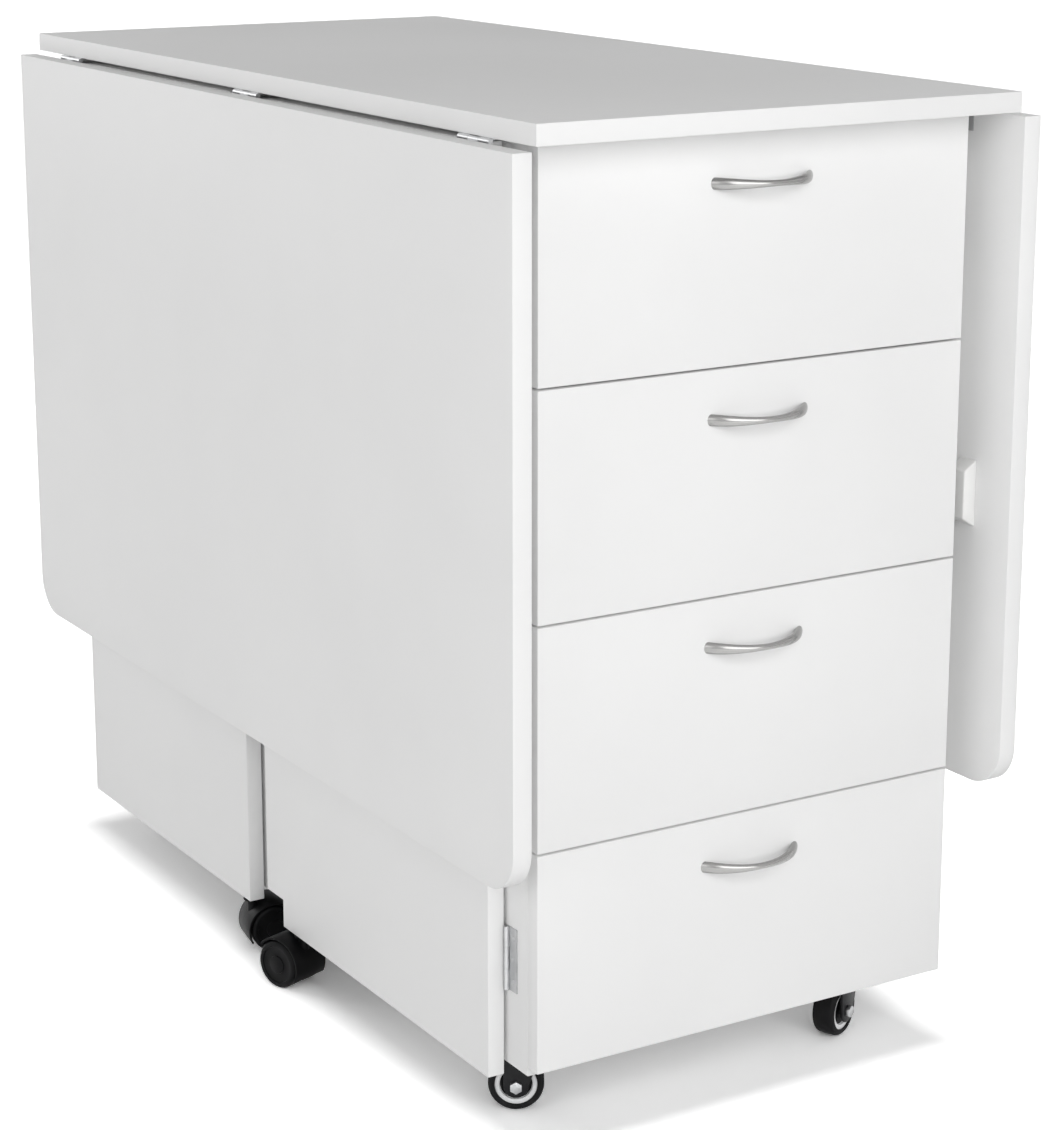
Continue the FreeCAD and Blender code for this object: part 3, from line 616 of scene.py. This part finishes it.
# %% Waist and feet of the bow
FLARE_SMOOTH_ANGLE = math.radians(50)
DOUBLES = 0.01 * MM
pick(bow, "VERT", lambda points: abs(points[0].x) < MM)
bpy.ops.transform.resize(
    value=(1, 1, HANDLE_WAIST_SHARE), center_override=(0, -HANDLE_RISE, 0), use_proportional_edit=True,
    proportional_edit_falloff="SMOOTH", proportional_size=half_span * WAIST_REACH_SHARE,
)
done(bow)
pick(bow, "FACE", everything)
bpy.ops.mesh.bisect(plane_co=(0, 0, 0), plane_no=(0, 1, 0), use_fill=True, clear_outer=True)
bpy.ops.mesh.select_all(action="SELECT")
bpy.ops.mesh.remove_doubles(threshold=DOUBLES)
bpy.ops.mesh.normals_make_consistent(inside=False)
done(bow)
make_active(bow)
bpy.ops.object.shade_smooth_by_angle(angle=FLARE_SMOOTH_ANGLE)
print("bow with its waist", extent(bow), "mm")

# %% Handles on their drawers


def copy_to(piece, name, place, angle=0.0):
    """A copy with a mesh of its own, turned about Z and moved, with its place in the mesh."""
    made = piece.copy()
    made.data = piece.data.copy()
    made.name = name
    bpy.context.collection.objects.link(made)
    made.location = place
    made.rotation_euler = (0, 0, angle)
    return settle(made)


for drawer in DRAWERS:
    face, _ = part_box(f"{drawer}_front")
    low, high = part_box(f"{drawer}_handle")
    handle = copy_to(bow, f"{drawer}_bow", (0, face.y, (low.z + high.z) / 2))
    finish(handle, drawer, "satin_nickel", satin_nickel, f"{drawer}_handle")
bpy.data.objects.remove(bow)
print(len(DRAWERS), "handles")

# %% [markdown]
# ## Finishes of the casters
# The casters have black tyres, hubs and hoods, black painted forks, pale rims and zinc plated nuts. Black
# is never even on a wheel that has rolled: a little dust gathers low down. It could be painted on each
# wheel, but a node group makes it for rubber and nylon alike, as a mask that fades with height and is
# broken by noise.

# %% Dust group
PATCH_LOW, PATCH_HIGH = 0.48, 0.72
dust_group, group_in, group_out = new_group("low_dust", {"Height": 0.05, "Patch Scale": 160}, ["Dust"])
coordinates = add_node(dust_group, "ShaderNodeTexCoord")
split = add_node(dust_group, "ShaderNodeSeparateXYZ")
fade = add_node(dust_group, "ShaderNodeMapRange", To_Min=1.0, To_Max=0.0)
patches = add_node(dust_group, "ShaderNodeTexNoise", Detail=4.0, Roughness=0.6)
patchy = add_node(dust_group, "ShaderNodeMapRange", From_Min=PATCH_LOW, From_Max=PATCH_HIGH)
dusty = add_node(dust_group, "ShaderNodeMath", operation="MULTIPLY")
dust_group.links.new(coordinates.outputs["Object"], split.inputs[0])
dust_group.links.new(split.outputs["Z"], fade.inputs["Value"])
dust_group.links.new(group_in.outputs["Height"], fade.inputs["From Max"])
dust_group.links.new(coordinates.outputs["Object"], patches.inputs["Vector"])
dust_group.links.new(group_in.outputs["Patch Scale"], patches.inputs["Scale"])
dust_group.links.new(patches.outputs["Fac"], patchy.inputs["Value"])
dust_group.links.new(fade.outputs["Result"], dusty.inputs[0])
dust_group.links.new(patchy.outputs["Result"], dusty.inputs[1])
dust_group.links.new(dusty.outputs[0], group_out.inputs["Dust"])
print("group", dust_group.name)

# %% Rubber, nylon and paint


def add_dust(material, height, patch_scale, colour):
    """Powder the lowest part of a finish with a dust colour."""
    tree = material.node_tree
    base = tree.nodes["Principled BSDF"].inputs["Base Color"]
    clean = base.links[0].from_socket
    low = add_node(tree, "ShaderNodeGroup", node_tree=dust_group)
    low.inputs["Height"].default_value = height
    low.inputs["Patch Scale"].default_value = patch_scale
    powder = add_node(tree, "ShaderNodeMix", data_type="RGBA")
    powder.inputs["B"].default_value = (*colour, 1)
    tree.links.new(low.outputs["Dust"], powder.inputs["Factor"])
    tree.links.new(clean, powder.inputs["A"])
    tree.links.new(powder.outputs["Result"], base)


black_rubber = finish_of(
    "black_rubber", dark=(0.008, 0.008, 0.0085), light=(0.013, 0.013, 0.0135), rough=(0.5, 0.66),
    drift_scale=60, pebble_scale=1800, bump=0.25, Specular_IOR_Level=0.09,
)
add_dust(black_rubber, height=14 * MM, patch_scale=170, colour=(0.04, 0.039, 0.037))
black_nylon = finish_of(
    "black_nylon", dark=(0.004, 0.004, 0.0045), light=(0.007, 0.007, 0.0075), rough=(0.3, 0.44),
    drift_scale=50, pebble_scale=2600, bump=0.15, Specular_IOR_Level=0.08,
)
add_dust(black_nylon, height=10 * MM, patch_scale=220, colour=(0.025, 0.024, 0.023))
black_paint = finish_of(
    "black_paint", dark=(0.006, 0.006, 0.007), light=(0.011, 0.011, 0.012), rough=(0.28, 0.4),
    drift_scale=45, pebble_scale=1600, bump=0.2, Specular_IOR_Level=0.2,
)
print("finishes:", black_rubber.name, black_nylon.name, black_paint.name)

# %% Rim plastic and zinc
pale_rim = finish_of(
    "pale_grey_rim", dark=(0.74, 0.745, 0.75), light=(0.80, 0.805, 0.81), rough=(0.3, 0.42),
    drift_scale=50, pebble_scale=1500, bump=0.12,
)
zinc = finish_of(
    "zinc_plate", dark=(0.44, 0.445, 0.455), light=(0.56, 0.565, 0.57), rough=(0.32, 0.46),
    drift_scale=90, pebble_scale=1500, bump=0.12, Metallic=1.0,
)
print("finishes:", pale_rim.name, zinc.name)

# %% [markdown]
# ## Wheels under the cabinet
# A single wheel has a rounded black tyre, a pale rim and a dark hub. One lathe profile could make it all,
# but the three are separate mouldings in different finishes. So each starts as a cylinder along Y: the tyre
# is inset at both ends, opened and bridged to a ring, and rim and hub get a step by insetting and pushing
# their ends. The wheel is modelled once, with its swivel at the origin and its axle towards +X.

# %% Tyre
WHEEL_RADIUS = 25 * MM
WHEEL_WIDTH = 22 * MM
TRAIL = 22 * MM
AXLE = Vector((TRAIL, 0, WHEEL_RADIUS))
TYRE_THICKNESS = 6 * MM
TREAD_ROUND = 4.5 * MM
ROUND_STEPS = 6
MOULDING_EASE = 0.5 * MM
CYLINDER_SIDES = 48
WHEEL_SIDES = 72
RIM_RADIUS = WHEEL_RADIUS - TYRE_THICKNESS


def cylinder(name, radius, depth, middle, axis="z", sides=CYLINDER_SIDES, caps="NGON"):
    """A cylinder along an axis."""
    make_active(None)
    turn = {"x": (0, math.pi / 2, 0), "y": (math.pi / 2, 0, 0), "z": (0, 0, 0)}[axis]
    bpy.ops.mesh.primitive_cylinder_add(
        vertices=sides, radius=radius, depth=depth, end_fill_type=caps, location=middle, rotation=turn,
    )
    piece = bpy.context.object
    piece.name = name
    return settle(piece)


def both_ends(width):
    """A test for the two flat ends of a wheel that lies along Y."""
    edge = width / 2 - DOUBLES
    return lambda points: all(p.y > edge for p in points) or all(p.y < -edge for p in points)


def bore_edge(points):
    """True for the rings that the two openings of the tyre leave."""
    return all((point - AXLE).xz.length < RIM_RADIUS + MM / 2 for point in points)


def tread_edge(points):
    """True for the two edges where the tread meets the sides of the tyre."""
    round_the_wheel = abs(points[0].y - points[1].y) < DOUBLES
    return round_the_wheel and all((point - AXLE).xz.length > WHEEL_RADIUS - MM for point in points)


tyre = cylinder("tyre", WHEEL_RADIUS, WHEEL_WIDTH, AXLE, "y", WHEEL_SIDES)
pick(tyre, "FACE", both_ends(WHEEL_WIDTH))
bpy.ops.mesh.inset(thickness=TYRE_THICKNESS)
bpy.ops.mesh.delete(type="FACE")
done(tyre)
pick(tyre, "EDGE", bore_edge)
bpy.ops.mesh.bridge_edge_loops()
bpy.ops.mesh.select_all(action="SELECT")
bpy.ops.mesh.normals_make_consistent(inside=False)
done(tyre)
pick(tyre, "EDGE", tread_edge)
bpy.ops.mesh.bevel(offset=TREAD_ROUND, segments=ROUND_STEPS, affect="EDGES")
done(tyre)
ease_edges(tyre, MOULDING_EASE, FEW_STEPS)
print("tyre", extent(tyre), "mm")

# %% Rim and hub
RIM_SETBACK = 3 * MM
RIM_WIDTH = WHEEL_WIDTH - RIM_SETBACK
RIM_LIP = 4.4 * MM
RIM_STEP = -2.5 * MM
HUB_RADIUS = 14.4 * MM
HUB_SETBACK = 4.6 * MM
HUB_WIDTH = RIM_WIDTH - HUB_SETBACK
HUB_LIP = 2.2 * MM
HUB_STEP = 1.2 * MM


def stepped_wheel(name, radius, width, lip, step):
    """A cylinder along Y round the axle, with both ends inset by a lip and pushed by a step."""
    piece = cylinder(name, radius, width, AXLE, "y", WHEEL_SIDES)
    pick(piece, "FACE", both_ends(width))
    bpy.ops.mesh.inset(thickness=lip)
    bpy.ops.mesh.extrude_region_shrink_fatten(TRANSFORM_OT_shrink_fatten={"value": step})
    return ease_edges(done(piece), MOULDING_EASE, FEW_STEPS)


rim = stepped_wheel("rim", RIM_RADIUS, RIM_WIDTH, RIM_LIP, RIM_STEP)
hub = stepped_wheel("hub", HUB_RADIUS, HUB_WIDTH, HUB_LIP, HUB_STEP)
print("rim", extent(rim), "and hub", extent(hub), "mm")

# %% [markdown]
# ## Forks of the cabinet's casters
# The fork is bent from black sheet: a crown that turns on a kingpin, and two cheeks that rake forward to
# the axle. It could be cut from one folded sheet, but three boxes are simpler: the cheeks' lower corners
# are bevelled to a round end and their upper front corners pulled forward, and the crown's front is
# bevelled to a half round. Each laps the next by a hair, so that no two faces lie in one plane.

# %% Fork
CHEEK_GAP = 1.5 * MM
CHEEK_NEAR = WHEEL_WIDTH / 2 + CHEEK_GAP
CHEEK_WALL = 2.5 * MM
CHEEK_EASE = 0.7 * MM
CROWN = (59.6 * MM, 63.6 * MM)
CROWN_FRONT = -17 * MM
CROWN_ROUND = 14 * MM
CROWN_EASE = 0.9 * MM
FORK_END = 11 * MM
FORK_RAKE = 13 * MM
FORK_STEPS = 10
SHEET_LAP = 0.25 * MM
KINGPIN_RADIUS = 4 * MM
KINGPIN_LENGTH = 12 * MM
KINGPIN_EASE = 0.3 * MM
NEARLY_ALL_SHARE = 0.98
cheek_top = sum(CROWN) / 2
cheek_far = CHEEK_NEAR + CHEEK_WALL
cheeks = []
for hand in (-1, 1):
    near, far = sorted((hand * CHEEK_NEAR, hand * cheek_far))
    low = (AXLE.x - FORK_END, near, AXLE.z - FORK_END)
    cheek = cube("cheek", low, (AXLE.x + FORK_END, far, cheek_top))
    pick(cheek, "EDGE", lambda p: abs(p[0].y - p[1].y) > MM and all(q.z < AXLE.z for q in p))
    bpy.ops.mesh.bevel(offset=FORK_END * NEARLY_ALL_SHARE, segments=FORK_STEPS, affect="EDGES")
    done(cheek)
    pick(cheek, "VERT", lambda p: p[0].z > cheek_top - MM and p[0].x < AXLE.x)
    bpy.ops.transform.translate(value=(-FORK_RAKE, 0, 0))
    done(cheek)
    cheeks.append(ease_edges(cheek, CHEEK_EASE, FEW_STEPS))
crown_half = cheek_far + SHEET_LAP
crown_end = AXLE.x + FORK_END + SHEET_LAP
crown = cube("crown", (CROWN_FRONT, -crown_half, CROWN[0]), (crown_end, crown_half, CROWN[1]))
pick(crown, "EDGE", lambda p: abs(p[0].z - p[1].z) > MM and all(q.x < 0 for q in p))
bpy.ops.mesh.bevel(offset=CROWN_ROUND, segments=FORK_STEPS, affect="EDGES")
done(crown)
ease_edges(crown, CROWN_EASE)
kingpin_middle = (0, 0, CROWN[0] + KINGPIN_LENGTH / 2)
kingpin = cylinder("kingpin", KINGPIN_RADIUS, KINGPIN_LENGTH, kingpin_middle)
ease_edges(kingpin, KINGPIN_EASE, FEW_STEPS)
fork = join("fork", [crown, kingpin] + cheeks)
print("fork", extent(fork), "mm")

# %% Axle nuts
NUT_HEIGHT = 4 * MM
NUT_RADIUS = 6 * MM
NUT_SIDES = 6
NUT_EASE = 0.7 * MM
TIP_RADIUS = 3.4 * MM
TIP_LENGTH = 4.2 * MM
TIP_MIDDLE = 2.2 * MM
TIP_SIDES = 24
nuts = []
for hand in (-1, 1):
    nut_middle = (AXLE.x, hand * (cheek_far + NUT_HEIGHT / 2), AXLE.z)
    nut = cylinder("nut", NUT_RADIUS, NUT_HEIGHT, nut_middle, "y", NUT_SIDES)
    nuts.append(ease_edges(nut, NUT_EASE, FEW_STEPS))
    tip_middle = (AXLE.x, hand * (cheek_far + TIP_MIDDLE), AXLE.z)
    tip = cylinder("axle_tip", TIP_RADIUS, TIP_LENGTH, tip_middle, "y", TIP_SIDES)
    nuts.append(ease_edges(tip, MOULDING_EASE, FEW_STEPS))
nuts = join("axle_nuts", nuts)
print("nuts", extent(nuts), "mm")

# %% [markdown]
# ## Casters in their places
# All four casters are alike, and each points its own way. They could be modelled four times, but copies are
# sure to match: the joints of the frame say where each swivel stands and where its axle lies, so a copy is
# turned by that angle and moved there. The fork rides on the swivel's body and the wheel on its own.

# %% Casters on their plates
joints = {joint["name"]: joint for joint in frame["record"]["behaviour"]["joints"]}


def trail_angle(swivel, roll):
    """Where the axle lies from the swivel, as an angle about Z."""
    away = Vector(joints[roll]["pos_m"]) - Vector(joints[swivel]["pos_m"])
    return math.atan2(away.y, away.x)


for end in ("front", "rear"):
    for side in ("left", "right"):
        caster = f"{end}_{side}_caster"
        spot = joints[f"{caster}_swivel"]["pos_m"]
        angle = trail_angle(f"{caster}_swivel", f"{caster}_roll")
        swivel, wheel = f"swivel_{end}_{side}", f"wheel_{end}_{side}"
        made = copy_to(fork, f"{caster}_fork_sheet", spot, angle)
        finish(made, swivel, "black_steel", black_paint, f"{caster}_fork")
        finish(copy_to(nuts, f"{caster}_axle_nuts", spot, angle), swivel, "zinc_steel", zinc)
        made = copy_to(tyre, f"{caster}_tyre", spot, angle)
        finish(made, wheel, "black_rubber", black_rubber, f"{caster}_wheel")
        finish(copy_to(rim, f"{caster}_rim", spot, angle), wheel, "white_plastic", pale_rim)
        finish(copy_to(hub, f"{caster}_hub", spot, angle), wheel, "black_plastic", black_nylon)
        print(caster, "trails at", round(math.degrees(angle), 1), "degrees")
for master in (tyre, rim, hub, fork, nuts):
    bpy.data.objects.remove(master)

# %% [markdown]
# ## Casters under the gates
# Each gate stands on a small black twin wheel caster: a hood over two nylon wheels, on a stem in the
# board's lower edge. A hood could be cut from a solid, but it is a thin moulding, so it starts as an open
# cylinder that is bisected at a slant and given a wall with Solidify. A web between the wheels, the stem's
# neck and a collar join it. The wheels get rounded rims and a dished face by bevel and inset.

# %% Hood
TWIN_RADIUS = 24 * MM
TWIN_TRAIL = 18 * MM
TWIN_WIDTH = 15 * MM
TWIN_WEB = 10 * MM
WEB_GAP = 0.5 * MM
WEB_BELOW_AXLE = 9 * MM
HOOD_CLEARANCE = 3.5 * MM
HOOD_RADIUS = TWIN_RADIUS + HOOD_CLEARANCE
HOOD_SIDES = 64
HOOD_WALL = 2 * MM
HOOD_ABOVE_AXLE = 3 * MM
HOOD_SLANT = (-0.65, 0, 1)
NECK_RADIUS = 5 * MM
NECK_SIDES = 32
COLLAR_RADIUS = 9 * MM
COLLAR_SIDES = 40
COLLAR_HEIGHT = 2 * MM
COLLAR_DROP = 1.3 * MM
gate_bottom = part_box("left_front_gate")[0].z
twin_axle = Vector((TWIN_TRAIL, 0, TWIN_RADIUS))
twin_half = TWIN_WEB / 2 + WEB_GAP + TWIN_WIDTH

hood = cylinder("hood_shell", HOOD_RADIUS, 2 * twin_half, twin_axle, "y", HOOD_SIDES, caps="NOTHING")
pick(hood, "FACE", everything)
hood_edge = twin_axle + Vector((0, 0, HOOD_ABOVE_AXLE))
bpy.ops.mesh.bisect(plane_co=hood_edge, plane_no=HOOD_SLANT, clear_inner=True)
done(hood)
make_active(hood)
shell = hood.modifiers.new("wall", "SOLIDIFY")
shell.thickness = HOOD_WALL
shell.offset = -1
bpy.ops.object.modifier_apply(modifier=shell.name)
ease_edges(hood, EASE, FEW_STEPS)

web = cylinder("web", HOOD_RADIUS - HOOD_WALL / 2, TWIN_WEB, twin_axle, "y")
pick(web, "FACE", everything)
web_floor = twin_axle - Vector((0, 0, WEB_BELOW_AXLE))
bpy.ops.mesh.bisect(plane_co=web_floor, plane_no=(0, 0, 1), clear_inner=True, use_fill=True)
done(web)
ease_edges(web, MOULDING_EASE, FEW_STEPS)
neck_middle = (0, 0, (gate_bottom + TWIN_RADIUS) / 2)
neck = cylinder("neck", NECK_RADIUS, gate_bottom - TWIN_RADIUS, neck_middle, sides=NECK_SIDES)
collar_middle = (0, 0, gate_bottom - COLLAR_DROP)
collar = cylinder("collar", COLLAR_RADIUS, COLLAR_HEIGHT, collar_middle, sides=COLLAR_SIDES)
ease_edges(collar, MOULDING_EASE, FEW_STEPS)
hood = join("hood", [hood, web, neck, collar])
print("hood", extent(hood), "mm")

# %% Twin wheels
TWIN_ROUND = 3.5 * MM
FACE_LIP = 2.5 * MM
FACE_DISH = -1.2 * MM
BOSS_RING = 9 * MM
BOSS_RISE = 1.0 * MM
FEW_CORNERS = 8
TWIN_SIDES = 64
TWIN_EASE = 0.4 * MM
twins = []
for hand in (-1, 1):
    middle = Vector((twin_axle.x, hand * (twin_half - TWIN_WIDTH / 2), twin_axle.z))
    wheel = cylinder("twin", TWIN_RADIUS, TWIN_WIDTH, middle, "y", TWIN_SIDES)
    outer_y = hand * twin_half

    def outer_rim(points):
        return all(abs(point.y - outer_y) < DOUBLES for point in points)

    pick(wheel, "EDGE", outer_rim)
    bpy.ops.mesh.bevel(offset=TWIN_ROUND, segments=ROUND_STEPS, affect="EDGES")
    done(wheel)
    pick(wheel, "FACE", lambda points: len(points) > FEW_CORNERS and outer_rim(points))
    bpy.ops.mesh.inset(thickness=FACE_LIP)
    bpy.ops.mesh.extrude_region_shrink_fatten(TRANSFORM_OT_shrink_fatten={"value": FACE_DISH})
    bpy.ops.mesh.inset(thickness=BOSS_RING)
    bpy.ops.mesh.extrude_region_shrink_fatten(TRANSFORM_OT_shrink_fatten={"value": BOSS_RISE})
    done(wheel)
    twins.append(ease_edges(wheel, TWIN_EASE, FEW_STEPS))
twins = join("twin_wheels", twins)
print("twin wheels", extent(twins), "mm")

# %% Twin casters on their gates
for side in ("left", "right"):
    for end in ("front", "rear"):
        gate = f"{side}_{end}_gate"
        spot = joints[f"{gate}_caster_swivel"]["pos_m"]
        angle = trail_angle(f"{gate}_caster_swivel", f"{gate}_caster_roll")
        made = copy_to(hood, f"{gate}_hood", spot, angle)
        finish(made, f"gate_swivel_{side}_{end}", "black_plastic", black_nylon, f"{gate}_caster_hood")
        made = copy_to(twins, f"{gate}_twins", spot, angle)
        finish(made, f"gate_wheels_{side}_{end}", "black_plastic", black_nylon, f"{gate}_caster_wheels")
        print(gate, "caster trails at", round(math.degrees(angle), 1), "degrees")
for master in (hood, twins):
    bpy.data.objects.remove(master)

# %% [markdown]
# ## Catches
# A white moulded catch near each end of a leaf's inner face holds the gate once it is swung out. It could
# be a plain block, but the moulding slopes at both ends. So the proud face of a cube is scaled along Z, and
# all edges are softened.

# %% Catches
CATCH_SLOPE = 9 * MM
CATCH_WIDTH = 22 * MM
CATCH_ROUND = 1.6 * MM
CATCH_STEPS = 4
white_plastic = finish_of(
    "white_plastic", dark=(0.80, 0.80, 0.79), light=(0.84, 0.84, 0.83), rough=(0.3, 0.4),
    drift_scale=40, pebble_scale=1800, bump=0.1,
)
for side, sign in (("left", -1), ("right", 1)):
    low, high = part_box(f"{side}_leaf_catches")
    blocks = []
    for near in (low.y, high.y - CATCH_WIDTH):
        block = cube("catch", (low.x, near, low.z), (high.x, near + CATCH_WIDTH, high.z))
        proud = low.x if sign > 0 else high.x
        pick(block, "VERT", lambda points: abs(points[0].x - proud) < MM)
        bpy.ops.transform.resize(value=(1, 1, 1 - 2 * CATCH_SLOPE / (high.z - low.z)))
        done(block)
        blocks.append(ease_edges(block, CATCH_ROUND, CATCH_STEPS))
    pair = join(f"{side}_catch_blocks", blocks)
    finish(pair, f"leaf_{side}", "white_plastic", white_plastic, f"{side}_leaf_catches")
    print(side, "catches", extent(pair), "mm")

# %% [markdown]
# ## Metalwork that keeps its solid
# Hinges, runners, caster plates and sockets are bent and pressed steel. They could be modelled again, but
# they are small, and their solids already have the knuckles, pins and channels, so they only get the zinc
# finish.

# %% Zinc on the solids
plated = 0
for name, solid in frame["nodes"].items():
    if any(word in name for word in ("hinge", "runners", "plates", "socket")):
        solid.data.materials.clear()
        solid.data.materials.append(zinc)
        plated += 1
print(plated, "plated nodes")

# %% [markdown]
# ## Hinge screws
# Three countersunk screws hold each gate hinge to the cabinet, and the lowest show beside the drawers.
# Screws from a bump map would vanish from the side. So one head is a short cylinder along X with a cross
# cut by two thin boxes, facing -X, and it is copied to every hinge, turned about for the right side.

# %% Hinge screw
SCREW_RADIUS = 2.6 * MM
SCREW_PROUD = 0.5 * MM
CROSS_LENGTH = 3.2 * MM
CROSS_WIDTH = 0.7 * MM
CROSS_DEPTH = 0.35 * MM
CUTTER_DEPTH = 4 * MM
SCREW_SIDES = 32
SCREW_EASE = 0.15 * MM
screw = cylinder("screw", SCREW_RADIUS, 2 * SCREW_PROUD, (0, 0, 0), "x", SCREW_SIDES)
for wide, tall in ((CROSS_LENGTH, CROSS_WIDTH), (CROSS_WIDTH, CROSS_LENGTH)):
    deepest = CROSS_DEPTH - SCREW_PROUD
    cross = cube("cross", (deepest - CUTTER_DEPTH, -wide / 2, -tall / 2), (deepest, wide / 2, tall / 2))
    cut_away(screw, cross)
ease_edges(screw, SCREW_EASE, FEW_STEPS)
print("screw", extent(screw), "mm")

# %% Screws on the hinges
PLATE_THICKNESS = 1.2 * MM
HINGE_LEVELS = (163 * MM, 463 * MM, 763 * MM)
SCREW_STEP = 19.7 * MM
OUTER_SCREWS_INWARD, MIDDLE_SCREW_INWARD = 5.5 * MM, 7.8 * MM
screws = []
plates_low, plates_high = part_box("gate_hinge_fixed_plates")
for side, sign in (("left", -1), ("right", 1)):
    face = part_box(f"side_panel_{side}")[0 if sign < 0 else 1].x + sign * PLATE_THICKNESS
    for outer, way in ((plates_low.y, 1), (plates_high.y, -1)):
        for level in HINGE_LEVELS:
            for step in (-1, 0, 1):
                inward = OUTER_SCREWS_INWARD if step else MIDDLE_SCREW_INWARD
                spot = (face, outer + way * inward, level + step * SCREW_STEP)
                screws.append(copy_to(screw, "hinge_screw", spot, 0 if sign < 0 else math.pi))
bpy.data.objects.remove(screw)
finish(join("gate_hinge_screws", screws), "cabinet", "zinc_steel", zinc)
print(len(screws), "hinge screws")
